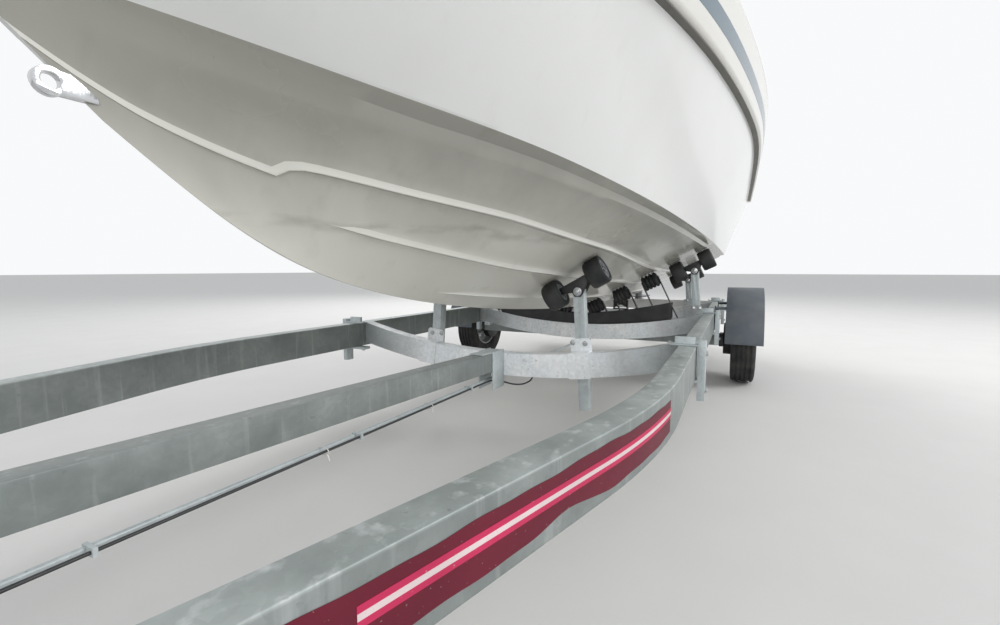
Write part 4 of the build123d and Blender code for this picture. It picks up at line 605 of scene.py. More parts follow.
for node, material, slot_name, edge, steps in RIGHT:
    finished(node, material, slot_name, edge, steps)
print("pieces finished:", len(RIGHT))

# %% [markdown]
# The hull is one fair moulding whose sections change all the way from the stem to the transom. No
# primitive bends into that, so its mesh is skinned over sections instead, the way a builder sets up
# frames. A few frames are written down, and the ones between come by fairing, a four-point average.

# %% Hull lines
COUPLING_AHEAD = 0.2
CAMBER = 0.02
KNUCKLE_Z, KNUCKLE_AT, STEP = 1.47, 2.25, 0.035
DECK_FLAT = 0.55
CHINE_FLAT = 0.045
# The chine half breadth and the knuckle's, from which the chine flat and the deck's lip are full size
CHINE_FULL, BOW_FULL = 0.35, 0.16
# How far the bottom's plane passes under the chine
CHINE_DROP = 0.004
# Half width of the keel's flat, the chine half breadth from which it is that wide, and its rise
KEEL_FLAT, KEEL_FULL, KEEL_RISE = 0.004, 0.1, 0.0006
# Keel station and height, sheer station and height, chine half breadth and height, half breadths
# of the knuckle and the sheer, for each frame from the stem aft
FRAMES = (
    (2.770, 1.000, 2.080, 1.660, 0.010, 1.190, 0.016, 0.024),
    (2.950, 0.870, 2.230, 1.655, 0.034, 1.180, 0.165, 0.160),
    (3.150, 0.766, 2.470, 1.650, 0.135, 1.158, 0.300, 0.320),
    (3.400, 0.692, 2.850, 1.645, 0.307, 1.114, 0.490, 0.525),
    (3.750, 0.630, 3.350, 1.640, 0.500, 1.063, 0.660, 0.710),
    (4.250, 0.575, 4.050, 1.630, 0.690, 0.983, 0.845, 0.905),
    (5.050, 0.520, 5.000, 1.620, 0.800, 0.920, 0.985, 1.040),
    (5.950, 0.497, 5.950, 1.600, 0.825, 0.900, 1.010, 1.065),
    (7.150, 0.487, 7.370, 1.540, 0.830, 0.890, 1.000, 1.055),
)


def faired(rows):
    ends = [rows[0], *rows, rows[-1]]
    result = []
    for before, near, far, after in zip(ends, ends[1:], ends[2:], ends[3:]):
        result.append(near)
        result.append(tuple((9 * (b + c) - a - d) / 16 for a, b, c, d in zip(before, near, far, after)))
    return result + [rows[-1]]


FINE = faired(faired(faired(FRAMES)))


def fore(station):
    return cad_high.x - COUPLING_AHEAD - station


def station_on(row, height):
    return row[0] + (row[2] - row[0]) * (height - row[1]) / (row[3] - row[1])


def grown(row):
    """How much of its size a detail has at a frame, as the bow grows wider from the stem."""
    return min(1, row[6] / BOW_FULL)


def knuckle_on(row):
    height = KNUCKLE_Z
    for _ in range(4):
        height = KNUCKLE_Z - CAMBER * (station_on(row, height) - KNUCKLE_AT)
    return height


print("frames:", len(FRAMES), "faired to", len(FINE))

# %% [markdown]
# Spray strakes are the long ledges that run aft along the bottom. Each is a flat facing the water
# with a rounded lip and a soft hollow above it. They are part of the moulding, so they are points of
# the sections and not strips stuck on: every frame has the same number of points, also where a
# strake has run out, and the skin between frames follows.

# %% Strakes and the half section of the hull
# One row for each point along a strake: station, distance off the keel and width of the ledge
STRAKES = (
    (
        (3.68, 0.040, 0.0),
        (3.87, 0.056, 0.016),
        (4.08, 0.074, 0.024),
        (4.44, 0.105, 0.028),
        (5.0, 0.136, 0.030),
        (5.8, 0.150, 0.030),
        (7.0, 0.152, 0.030),
    ),
    (
        (3.20, 0.078, 0.0),
        (3.30, 0.098, 0.016),
        (3.45, 0.130, 0.026),
        (3.63, 0.162, 0.030),
        (3.85, 0.199, 0.032),
        (4.18, 0.254, 0.034),
        (4.55, 0.290, 0.034),
        (5.0, 0.316, 0.034),
        (5.8, 0.325, 0.034),
        (7.0, 0.328, 0.034),
    ),
    (
        (2.98, 0.066, 0.012),
        (3.06, 0.104, 0.016),
        (3.19, 0.158, 0.026),
        (3.34, 0.215, 0.030),
        (3.52, 0.278, 0.033),
        (3.78, 0.355, 0.036),
        (4.18, 0.440, 0.038),
        (4.53, 0.470, 0.038),
        (5.17, 0.482, 0.038),
        (5.85, 0.484, 0.038),
        (7.0, 0.486, 0.036),
    ),
)
# Points of the lip and the hollow: share of the ledge out, metres beyond it, share of the step up
LEDGE = (
    (0.0, 0.0, 0.0),
    (0.5, 0.0, 0.0),
    (1.0, -0.003, 0.0),
    (1.0, 0.0, 0.08),
    (1.0, 0.0008, 0.30),
    (1.0, 0.0020, 0.55),
    (1.0, 0.0045, 0.76),
    (1.0, 0.0085, 0.90),
    (1.0, 0.0145, 0.97),
    (1.0, 0.0230, 1.0),
)
# The faces of the ledge's outer edge, counted from the strake's first point: they take the
# lighter gelcoat of the painted highlight
LIP_FACES = range(2, 6)
# Where the bottom is steep, near the bow, a strake is narrower, so that its face stays as tall
STRAKE_RISE = 0.018
# Width of ledge from which the lip and the hollow are full size
LEDGE_FULL = 0.02


def along(table, station):
    if station <= table[0][0]:
        return None
    for near, far in zip(table, table[1:]):
        if near[0] <= station <= far[0]:
            share = (station - near[0]) / (far[0] - near[0])
            return [a + share * (b - a) for a, b in zip(near, far)]
    return None


def bottom_line(row):
    keel_z, chine_y, chine_z = row[1], row[4], row[5]
    inner_y = chine_y - CHINE_FLAT * min(1, chine_y / CHINE_FULL)
    slope = (chine_z - CHINE_DROP - keel_z) / chine_y
    return inner_y, slope


def strake_line(table):
    """For each frame, how far out the strake lies, as a share of the bottom, and its ledge."""
    line = []
    for row in FINE:
        inner_y, slope = bottom_line(row)
        y, found = table[0][1], None
        for _ in range(8):
            found = along(table, station_on(row, row[1] + slope * y))
            y = found[1] if found else y
        line.append((y / inner_y, found[2]) if found else None)
    used = [index for index, value in enumerate(line) if value]
    first, last = used[0], used[-1]
    line = [line[first][:1] + (table[0][2],)] * first + line[first : last + 1]
    return line + [line[last][:1] + (0.0,)] * (len(FINE) - 1 - last)


def strake_points(row, place):
    inner_y, slope = bottom_line(row)
    y, ledge = place[0] * inner_y, min(place[1], STRAKE_RISE / slope)
    points = []
    taper = min(1, ledge / LEDGE_FULL)
    for out_share, out, up_share in LEDGE:
        at = y + out_share * ledge + out * taper
        points.append((at, row[1] + slope * (y + up_share * (at - y))))
    return points


STRAKE_LINES = [strake_line(faired(faired(faired(table)))) for table in STRAKES]
# Heights of the points above the chine, as shares of the way to the knuckle
TOPSIDE_SHARES = (0.02, 0.25, 0.5, 0.75, 1.0)


def half_section(row):
    """Points of (y, z) from the keel to the knuckle on one side of a frame."""
    keel_z, chine_y, chine_z, knuckle_y = row[1], row[4], row[5], row[6]
    height = knuckle_on(row)
    inner_y, slope = bottom_line(row)
    points = [(0.0, keel_z), (KEEL_FLAT * min(1, chine_y / KEEL_FULL), keel_z + KEEL_RISE)]
    for line in STRAKE_LINES:
        points += strake_points(row, line[FINE.index(row)])
    inner_z = keel_z + slope * inner_y
    flat = chine_y - inner_y
    before_y = inner_y - 0.3 * flat
    points += [(before_y, keel_z + slope * before_y), (inner_y, inner_z)]
    points.append((inner_y + 0.25 * flat, inner_z + 0.6 * (chine_z - inner_z)))
    points += [(chine_y - 0.1 * flat, chine_z - 0.003), (chine_y, chine_z)]
    for share in TOPSIDE_SHARES:
        points.append((chine_y + share * (knuckle_y - chine_y), chine_z + share * (height - chine_z)))
    return points


SECTION_POINTS = len(half_section(FINE[-1]))
BOTTOM_POINTS = SECTION_POINTS - len(TOPSIDE_SHARES) - 1
print("points in a half section:", SECTION_POINTS)


# %% Skinning sections
def skinned(name, rings, finish_of=lambda step: 0):
    """A closed mesh over rings of points, whose faces take a material by their place in the ring."""
    mesh = bpy.data.meshes.new(name)
    piece = bpy.data.objects.new(name, mesh)
    bpy.context.scene.collection.objects.link(piece)
    count = len(rings[0])
    points = [point for ring in rings for point in ring]
    faces, finishes = [], []
    for row in range(len(rings) - 1):
        for step in range(count):
            after = (step + 1) % count
            near, far = row * count, (row + 1) * count
            faces.append((near + step, near + after, far + after, far + step))
            finishes.append(finish_of(step))
    faces += [tuple(range(count)), tuple(range(len(points) - count, len(points)))]
    finishes += [0, 0]
    mesh.from_pydata(points, [], faces)
    mesh.polygons.foreach_set("material_index", finishes)
    in_edit(piece, ("remove_doubles", {"threshold": 0.00005}), OUTWARD)
    return piece


def whole_ring(row, half):
    """Port points from the keel up and then the same ones down the starboard side."""
    port = [(fore(station_on(row, z)), y, z) for y, z in half]
    starboard = [(x, -y, z) for x, y, z in reversed(port) if y > 1e-9]
    return port + starboard


def cutter(name, low, high, z0, z1, corner, material):
    """A tapered box: low and high are the rear and front x and half breadth at its two levels."""
    box = primitive("cube", name, size=2, location=(0, 0, 0))
    for vertex in box.data.vertices:
        level, z = (high, z1) if vertex.co.z > 0 else (low, z0)
        x, half = level[1] if vertex.co.x > 0 else level[0]
        vertex.co = (x, math.copysign(half, vertex.co.y), z)
    if corner:
        bevelled(box, corner, 5, 40)
    painted(box, material)
    return box


def cut(piece, boxes):
    for box in boxes:
        modified(
            piece, "BOOLEAN", operation="DIFFERENCE", solver="EXACT", material_mode="TRANSFER", object=box
        )


# %% [markdown]
# The cockpit, footwell, engine well and anchor locker are hollows in the closed mouldings. Each is a
# box, tapered and with rounded edges where the real one is, taken away with a Boolean modifier that
# also hands its own material to the faces it leaves, so the liner looks like a liner.

# %% The hollows
# Rear and front x with half breadths, of the foot and the top where they differ
COCKPIT = (((fore(6.35), 0.70), (fore(4.35), 0.60)), ((fore(6.41), 0.90), (fore(4.24), 0.745)))
FOOTWELL = ((fore(4.40), 0.38), (fore(3.85), 0.38))
WELL = ((fore(7.155), 0.43), (fore(6.56), 0.43))
NOTCH = ((fore(8.2), 0.43), (fore(6.66), 0.43))
LOCKER = ((fore(3.34), 0.16), (fore(2.96), 0.16))
HOLLOWS = (
    cutter("cockpit_space", COCKPIT[0], COCKPIT[1], 0.93, 1.80, 0.05, LINER),
    cutter("footwell_space", FOOTWELL, FOOTWELL, 0.96, 1.29, 0, LINER),
    cutter("well_space", WELL, WELL, 0.86, 2.0, 0.03, BAND),
    cutter("notch_space", NOTCH, NOTCH, 1.0, 2.0, 0, BAND),
    cutter("locker_space", LOCKER, LOCKER, 1.54, 2.0, 0, LINER),
)
print("hollows:", len(HOLLOWS))

# %% The hull moulding
# Each ring closes along the middle at the knuckle's height, so the hull is one solid before the cuts
hull_rings = [whole_ring(row, [*half_section(row), (0.0, knuckle_on(row))]) for row in FINE]
ring_size = len(hull_rings[0])


def hull_finish(step):
    from_keel = min(step, ring_size - 1 - step)
    if from_keel >= BOTTOM_POINTS:
        return 0
    # The third slot, on the strakes' lips, is the lighter gelcoat of the painted highlight
    in_strake = (from_keel - 2) % len(LEDGE)
    return 2 if from_keel < 2 + len(STRAKES) * len(LEDGE) and in_strake in LIP_FACES else 1


hull_piece = skinned("hull_moulding", hull_rings, hull_finish)
painted(hull_piece, TOPSIDE, BOTTOM, LIP_HIGHLIGHT)
cut(hull_piece, HOLLOWS[:4])
smooth(hull_piece, 24)
placed(hull_piece, body_of("hull"), "hull_gelcoat", "hull")
print("hull moulding faces:", len(hull_piece.data.polygons))

# %% [markdown]
# The deck moulding drops over the hull like a lid. Its skirt stands out from the hull with a rounded
# lower edge, flares a little to the gunwale, and its top has a gentle crown for the water to run off.

# %% The deck moulding
LIP = 0.016
# The deck's crown: its share, its most, and its height for each metre of half breadth
CROWN_SHARE, CROWN_MOST, CROWN_SLOPE = 0.7, 0.07, 0.12
# The first point of the grip pattern, counted from the centre line
GRIP_FROM = 15


def deck_section(row):
    """Points of (y, z) round one side of the deck, from its underside on the centre line."""
    top_z, knuckle_y, sheer_y = row[3], row[6], row[7]
    height = knuckle_on(row)
    foot_y = knuckle_y + STEP * grown(row)
    flare = (sheer_y - foot_y) / (top_z - height)
    crown = top_z + CROWN_SHARE * min(CROWN_MOST, sheer_y * CROWN_SLOPE)
    lip = LIP * grown(row)
    points = [(0.0, height), (0.7 * knuckle_y, height)]
    for turn in (0, 22.5, 45, 67.5, 90):
        angle = math.radians(turn)
        points.append((foot_y - lip * (1 - math.sin(angle)), height + lip * (1 - math.cos(angle))))
    for share in (0.2, 0.4, 0.6, 0.8):
        points.append((foot_y + share * flare * (top_z - height), height + share * (top_z - height)))
    for turn in (0, 30, 60, 90):
        angle = math.radians(turn)
        points.append((sheer_y - lip * (1 - math.cos(angle)), top_z - lip * (1 - math.sin(angle))))
    for share in (0.8, 0.6, DECK_FLAT, 0.5, 0.25):
        fall = max(0, (share - DECK_FLAT) / (1 - DECK_FLAT))
        points.append((share * sheer_y, crown - fall * (crown - top_z)))
    points.append((0.0, crown))
    return points


deck_rings = [whole_ring(row, deck_section(row)) for row in FINE]
deck_size = len(deck_rings[0])


def deck_finish(step):
    return 1 if min(step, deck_size - 1 - step) > GRIP_FROM else 0


deck_piece = skinned("deck_moulding", deck_rings, deck_finish)
painted(deck_piece, BAND, GRIP)
cut(deck_piece, HOLLOWS)
smooth(deck_piece, 28)
placed(deck_piece, body_of("deck"), "deck_gelcoat", "deck")
for box in HOLLOWS:
    bpy.data.objects.remove(box)
print("deck moulding faces:", len(deck_piece.data.polygons))

# %% [markdown]
# The slate stripe is a strip of vinyl along the deck's skirt. It is a thin skin over the same frames,
# a hair proud of the moulding, so that it follows the flare and stays level with the knuckle.

# %% The stripe along the skirt
STRIPE_LOW, STRIPE_HIGH, FILM = 0.055, 0.105, 0.0008


def stripe_ring(row, side):
    height, top_z = knuckle_on(row), row[3]
    foot_y = row[6] + STEP * grown(row)
    flare = (row[7] - foot_y) / (top_z - height)
    ring = []
    for up, out in ((STRIPE_LOW, 0), (STRIPE_LOW, FILM), (STRIPE_HIGH, FILM), (STRIPE_HIGH, 0)):
        z = height + up
        ring.append((fore(station_on(row, z)), side * (foot_y + flare * up + out), z))
    return ring


def strips(name, ring_of, first, finish, slot_name):
    """A strip along the frames on each side, from the first frame that it reaches."""
    for side, side_name in SIDES:
        strip = skinned(name + side_name, [ring_of(row, side) for row in FINE[first:-1]])
        smooth(strip, 30)
        painted(strip, finish)
        placed(strip, TRAILER, slot_name)


strips("stripe_", stripe_ring, 6, STRIPE, "deck_gelcoat")
print("stripes on the skirt")

# %% [markdown]
# A bolt on real galvanised work is a hexagon with its corners turned off, on a round washer, with the
# end of its thread standing out of a nut. Both are shaped from round and six-sided slices and bevelled.
# Each place in the tables below then gets a copy with its own mesh, turned from +Z to the way it faces.

# %% One bolt head and one nut
BOLT_EDGE = 0.0009


def stacked(name, rows):
    """Round or six-sided slices on one axis, joined: sides, radius, height of its middle, depth."""
    pieces = []
    for sides, radius, middle, depth in rows:
        piece = primitive("cylinder", name, vertices=sides, radius=radius, depth=depth)
        piece.location.z = middle
        settled(piece)
        bevelled(piece, BOLT_EDGE, 2, 50)
        pieces.append(piece)
    stack = joined(name, pieces)
    smooth(stack, 35)
    return stack


WASHER = (28, 0.0135, 0.001, 0.002)
BOLT_HEAD = stacked("bolt_head", (WASHER, (6, 0.0095, 0.005, 0.0066)))
NUT = stacked("nut", (WASHER, (6, 0.0095, 0.0055, 0.008), (16, 0.005, 0.009, 0.010)))
print("bolt and nut modelled")


# %% Setting copies of a pattern in place
def towards(place, direction, size):
    """The matrix that turns +Z to a direction and moves the pattern to a place at a size."""
    turn = Vector(direction).to_track_quat("Z", "Y").to_matrix().to_4x4()
    return Matrix.Translation(place) @ turn @ Matrix.Scale(size, 4)


def repeated(pattern, name, matrices):
    """Copies of a pattern, each moved by its matrix, joined into one piece."""
    copies = []
    for matrix in matrices:
        data = pattern.data.copy()
        data.transform(matrix)
        copy = bpy.data.objects.new(name, data)
        bpy.context.scene.collection.objects.link(copy)
        copies.append(copy)
    return joined(name, copies)


def both(rows):
    """Rows of place, direction and size for the port side, and the same to starboard."""
    return [
        towards((x, side * y, z), (dx, side * dy, dz), size)
        for x, y, z, dx, dy, dz, size in rows
        for side in (1, -1)
    ]


# %% Bolts and nuts of the frame
CLAMP_X = (-0.280, -1.675, -2.900)
# Offset and height of each bolt in a rail clamp, the way it faces along Y and Z, and its size
CLAMP_BOLTS = (
    (0.862, 0.455, 1, 0, 0.9),
    (0.862, 0.322, 1, 0, 0.9),
    (0.737, 0.486, 0, 1, 0.75),
    (0.745, 0.348, 0, -1, 0.9),
)
# Middle x of each post, its pivot's offset and height, then x, offset, height and bolt spread of its tab
POSTS = (
    (-0.4075, 0.3525, 0.660, -0.381, 0.3610, 0.442, 0.027),
    (-1.6275, 0.7115, 0.744, -1.601, 0.7300, 0.512, 0.018),
    (-2.8775, 0.5665, 0.656, -2.851, 0.5910, 0.480, 0.027),
)
CHEEK, TAB_BOLT, PIVOT_NUT = 0.0295, 0.85, 1.35
bolt_rows = [(x, y, z, 0, dy, dz, size) for x in CLAMP_X for y, z, dy, dz, size in CLAMP_BOLTS]
nut_rows = []
for x, y, z, tab_x, tab_y, tab_z, apart in POSTS:
    for end in (1, -1):
        bolt_rows.append((tab_x, tab_y + end * apart, tab_z, 1, 0, 0, TAB_BOLT))
        nut_rows.append((x + end * CHEEK, y, z, end, 0, 0, PIVOT_NUT))
for pattern, name, rows in ((BOLT_HEAD, "frame_bolts", bolt_rows), (NUT, "pivot_nuts", nut_rows)):
    fixings = repeated(pattern, name, both(rows))
    painted(fixings, ZINC_BOLT)
    placed(fixings, TRAILER, ZINC)
print("bolts:", 2 * len(bolt_rows), "nuts:", 2 * len(nut_rows))

# %% [markdown]
# Each smooth roller has a grey plastic hub, pressed into the hollow at its end: a rim, six spokes and
# a boss round the rod. The hub is modelled flat on its back as one pattern, from a disc, a ring and
# turned bars, and then set into both ends of all twelve rollers along the slope of their axles.

# %% The roller hubs
HUB_RADIUS, BOSS_RADIUS, ROD_RADIUS = 0.0405, 0.0165, 0.0098
RIM_WIDTH, RIM_THICK = 0.003, 0.0028
SPOKES, SPOKE_MIDDLE, SPOKE_SIZE = 6, 0.027, (0.024, 0.0052, 0.0040)


def ray_bar(name, angle, middle, up, size):
    """A bar that points away from the axis, its middle at a radius and a height."""
    bar = primitive("cube", name, size=1, location=(middle * math.cos(angle), middle * math.sin(angle), up))
    bar.rotation_euler.z = angle
    bar.scale = size
    return settled(bar)


HUB_DISCS = (
    (40, HUB_RADIUS, 0.0005, 0.0022),
    (24, BOSS_RADIUS, 0.003, 0.0062),
    (18, ROD_RADIUS, 0.006, 0.006),
)
hub_parts = [stacked("hub_discs", HUB_DISCS)]
rim = primitive(
    "torus",
    "hub_rim",
    major_radius=HUB_RADIUS - RIM_WIDTH,
    minor_radius=RIM_THICK,
    major_segments=40,
    minor_segments=8,
    location=(0, 0, 0.002),
)
hub_parts.append(settled(rim))
for spoke in range(SPOKES):
    bar = ray_bar("spoke", math.tau * spoke / SPOKES, SPOKE_MIDDLE, 0.0025, SPOKE_SIZE)
    modified(bar, "BEVEL", width=0.001, segments=2)
    hub_parts.append(bar)
hub = joined("hub", hub_parts)
smooth(hub, 35)

# Middle x of each pair, then offset and height of the inner and outer roller
ROLLER_PAIRS = (
    (-0.4075, 0.2455, 0.6395, 0.4265, 0.7410),
    (-1.6275, 0.6165, 0.7360, 0.7765, 0.8130),
    (-2.8775, 0.4665, 0.6460, 0.6365, 0.7280),
)
RECESS = 0.0302
hub_places = []
for x, y0, z0, y1, z1 in ROLLER_PAIRS:
    run = Vector((0, y1 - y0, z1 - z0)).normalized()
    for y, z in ((y0, z0), (y1, z1)):
        for end in (1, -1):
            out = end * RECESS * run
            hub_places.append((x, y + out.y, z + out.z, 0, end * run.y, end * run.z, 1))
hubs = repeated(hub, "roller_hubs", both(hub_places))
painted(hubs, HUB)
placed(hubs, body_of("side_rollers"), "black_plastic")
print("roller hubs:", 2 * len(hub_places))

# %% [markdown]
# A vinyl sticker runs along the outside of each rail: a dark red band with ragged edges where it has
# worn, and a pink line on it with a pale core. It is a plain grid as long as the band, whose corners
# are moved on to the rail's face in code, a film's thickness proud of it. The ragged edge is a sum of
# three waves of different length, so that it never repeats.

# %% The stickers' finishes
def sticker(name, colour, speck, amount):
    material, tree, shader, place = surface(name, roughness=0.55, coat=0.04)
    cloud = spread(tree, noise(tree, place, 6, 5), 0.35, 0.75)
    worn = spread(tree, noise(tree, place, 210, 2), 0.70, 0.74, 0, amount)
    base = mixed(tree, cloud, tuple(0.7 * v for v in colour), colour)
    tree.links.new(mixed(tree, worn, base, speck), shader.inputs["Base Color"])
    shader.inputs["Specular IOR Level"].default_value = 0.3
    bumped(tree, shader, noise(tree, place, 40, 3), 0.0003, 0.3)
    return material


# Each with its colour, the colour of the specks where it has worn, and how many there are
MAROON = sticker("dark red vinyl", (0.155, 0.008, 0.026), (0.40, 0.34, 0.34), 0.5)
PINK = sticker("pink vinyl", (0.64, 0.03, 0.115), (0.60, 0.50, 0.50), 0.4)
PALE = sticker("pale vinyl", (0.86, 0.70, 0.70), (0.40, 0.30, 0.32), 0.4)

# %% The rail's outer face
RAIL_FACE, BEND_AT, BEND_RADIUS, TOE_IN = 0.830, 3.620, 1.930, math.radians(15)
BEND_RUN = BEND_RADIUS * math.sin(TOE_IN)


def rail_face(station, proud):
    """The point of the port rail's outer face at a station, moved out by a little."""
    ahead = BEND_AT - station
    if ahead <= 0:
        return fore(station), RAIL_FACE + proud
    turn = math.asin(ahead / BEND_RADIUS) if ahead < BEND_RUN else TOE_IN
    y = RAIL_FACE - BEND_RADIUS * (1 - math.cos(turn))
    if ahead > BEND_RUN:
        y -= (ahead - BEND_RUN) * math.tan(TOE_IN)
    return fore(station) + proud * math.sin(turn), y + proud * math.cos(turn)


def ragged(station, depth):
    waves = math.sin(9.1 * station + 1) + 0.6 * math.sin(23.7 * station) + 0.35 * math.sin(57.3 * station)
    return depth * waves


# %% The bands on both rails
NOTCH_AT, NOTCH_DEEP, NOTCH_WIDE = 3.02, 0.013, 0.07


def notch(station):
    """A torn place in the band's lower edge, as on the real one."""
    return NOTCH_DEEP * math.exp(-(((station - NOTCH_AT) / NOTCH_WIDE) ** 2))


# Name, finish, first and last station, low and high edge, how ragged they are, how far proud
BANDS = (
    ("band", MAROON, 1.62, 3.470, 0.378, 0.457, 0.0022, 0.0006),
    ("band_line", PINK, 2.66, 3.470, 0.413, 0.437, 0.0, 0.0010),
    ("band_core", PALE, 2.66, 3.470, 0.4215, 0.4290, 0.0, 0.0014),
)


def band(name, finish, first, last, low, high, depth, proud, side):
    piece = primitive("grid", name, x_subdivisions=150, y_subdivisions=3, size=2)
    for vertex in piece.data.vertices:
        station = first + (last - first) * (1 - vertex.co.x) / 2
        up = (vertex.co.y + 1) / 2
        lower = low + ragged(station, depth) + (notch(station) if depth else 0)
        upper = high + ragged(station + 7.3, depth)
        x, y = rail_face(station, proud)
        vertex.co = (x, side * y, lower + up * (upper - lower))
    modified(piece, "SOLIDIFY", thickness=0.0005, offset=0)
    in_edit(piece, OUTWARD)
    painted(piece, finish)
    return placed(piece, TRAILER, "lamp_plastic")


for side, side_name in SIDES:
    for name, *rest in BANDS:
        band(name + "_" + side_name, *rest, side)
print("stickers on the rails")

# %% [markdown]
# Small things that the eye still finds: a red reflector on each rail behind the front clamp, a red
# triangle at each end of the lamp board, nylon ties that bind the wiring to the brake rod, and a
# thin grey strip of painted shade under the deck's skirt, along the joint between hull and deck.

# %% Reflectors, cable ties and the painted shade at the joint
REFLECTOR = moulded(
    "red reflector", (0.62, 0.03, 0.035), (0.40, 0.03, 0.03), 0.4, 0.2, 260, 0.0006, coat=0.5
)
NYLON = moulded("natural nylon", (0.66, 0.65, 0.60), (0.48, 0.47, 0.42), 0.4, 0.42)
# Grey-brown for the strip of painted shade along the hull and deck joint, and for the gauge marks
JOINT_SHADE_AND_MARK_GREY = moulded("grey painted joint shade and marks", (0.17, 0.165, 0.15), (0.11, 0.105, 0.095), 0.6, 0.6)
# Size and place of the port reflector, and radius, thickness and place of the port lamp triangle
CHIP_SIZE, CHIP_AT = (0.075, 0.006, 0.032), (-0.40, 0.833, 0.435)
TRIANGLE_RADIUS, TRIANGLE_THICK, TRIANGLE_AT = 0.042, 0.006, (-3.110, 0.62, 0.418)
# Radius and thickness of a tie's loop, how it is squeezed along its axes, and the size of its tail
TIE_RADIUS, TIE_THICK, TIE_SQUEEZE, TAIL_SIZE = 0.0165, 0.0015, (0.62, 1.15, 1.0), (0.0035, 0.0012, 0.026)
# Station and height of each tie
TIES = ((3.20, 0.283), (3.668, 0.279), (2.58, 0.2885), (1.96, 0.294), (1.34, 0.2995))
# The painted shade strip: its share of the deck's step, how far it starts inside the hull, and its heights
SHADE_STRIP_SHARE, SHADE_STRIP_IN, SHADE_STRIP_LOW, SHADE_STRIP_HIGH = 0.6, 0.002, -0.004, 0.001


def block(name, size, place, corner, finish, turn=0.0):
    """A bevelled block of a size, turned about X, for a small fitting."""
    piece = primitive("cube", name, size=1, location=place)
    piece.scale = size
    piece.rotation_euler.x = turn
    settled(piece)
    modified(piece, "BEVEL", width=corner, segments=3)
    smooth(piece, 35)
    painted(piece, finish)
    return piece


def on_side(side, place):
    """A place given for the port side, on that side or mirrored to starboard."""
    return (place[0], side * place[1], place[2])


for side, side_name in SIDES:
    chip = block("reflector_" + side_name, CHIP_SIZE, on_side(side, CHIP_AT), 0.0025, REFLECTOR)
    placed(chip, TRAILER, "lamp_plastic")
    triangle = primitive(
        "cylinder", "triangle_" + side_name, vertices=3, radius=TRIANGLE_RADIUS, depth=TRIANGLE_THICK
    )
    triangle.rotation_euler = (math.radians(90), 0, math.radians(90))
    triangle.location = on_side(side, TRIANGLE_AT)
    settled(triangle)
    modified(triangle, "BEVEL", width=0.002, segments=3)
    painted(triangle, REFLECTOR)
    placed(triangle, TRAILER, "lamp_plastic")

loop = primitive(
    "torus",
    "tie_loop",
    major_radius=TIE_RADIUS,
    minor_radius=TIE_THICK,
    major_segments=28,
    minor_segments=8,
)
loop.rotation_euler.y = math.radians(90)
loop.scale = TIE_SQUEEZE
settled(loop)
tail = block("tie_tail", TAIL_SIZE, (0, 0.017, -0.012), 0.0004, NYLON, math.radians(24))
tie = joined("tie", (tail, loop))
ties = repeated(tie, "cable_ties", [Matrix.Translation((fore(s), 0.004, z)) for s, z in TIES])
painted(ties, NYLON)
placed(ties, TRAILER, "black_plastic")


def joint_ring(row, side):
    height = knuckle_on(row)
    shade_out = SHADE_STRIP_SHARE * STEP * grown(row)
    ring = []
    for out, up in ((-SHADE_STRIP_IN, SHADE_STRIP_LOW), (shade_out, SHADE_STRIP_LOW), (shade_out, SHADE_STRIP_HIGH), (-SHADE_STRIP_IN, SHADE_STRIP_HIGH)):
        ring.append((fore(station_on(row, height)), side * (row[6] + out), height + up))
    return ring


# A thin grey-brown strip on each side under the deck's skirt, as painted shade at the joint
strips("joint_", joint_ring, 4, JOINT_SHADE_AND_MARK_GREY, "black_plastic")
for pattern in (hub, tie):
    bpy.data.objects.remove(pattern)
print("reflectors, ties and joint shade in place")

# %% [markdown]
# The ribbed rollers sit in a folded steel cradle that is bolted on the crossmember. Its base strip
# and its ears are as the CAD has them, and here the folds are added: one wall along each edge of the
# strip, which follows the bow and grows taller outward. A grid is laid along each and given a wall.

# %% The cradle's folded walls
# The crossmember's bow: height of its top in the middle, its rise, and the half width of that
BOW_LOW, BOW_RISE, BOW_HALF = 0.386, 0.094, 0.77
STRIP_THICK = 0.006
WALLS_X = (-1.602, -1.548)
WALL_HALF, WALL_LOW, WALL_RISE = 0.592, 0.064, 0.062
# The walls fall again near their ends
END_AT, END_LOW, END_SLOPE = 0.70, 0.045, 0.5


def cradle_top(y):
    return BOW_LOW + BOW_RISE * (y / BOW_HALF) ** 2 + STRIP_THICK


walls = []
for x in WALLS_X:
    wall = primitive("grid", "cradle_wall", x_subdivisions=48, y_subdivisions=4, size=2)
    for vertex in wall.data.vertices:
        y = WALL_HALF * vertex.co.x
        tall = min(WALL_LOW + WALL_RISE * abs(y), END_SLOPE * (END_AT - abs(y)) + END_LOW)
        vertex.co = (x, y, cradle_top(y) + tall * (vertex.co.y + 1) / 2)
    modified(wall, "SOLIDIFY", thickness=0.005, offset=0)
    bevelled(wall, 0.0015, 2, 50)
    walls.append(wall)
cradle_walls = joined("cradle_walls", walls)
in_edit(cradle_walls, OUTWARD)
smooth(cradle_walls, 35)
painted(cradle_walls, BLACK_PAINT)
placed(cradle_walls, TRAILER, "black_steel")
print("cradle walls made")

# %% [markdown]
# A road tyre is one profile turned about the axle: bead, sidewall, shoulder and tread with four
# grooves. The profile is drawn once and spun. Then every fourth row of faces across the outer ribs is
# chosen by place and pushed in with an inset that has depth, which leaves the tread's blocks standing.

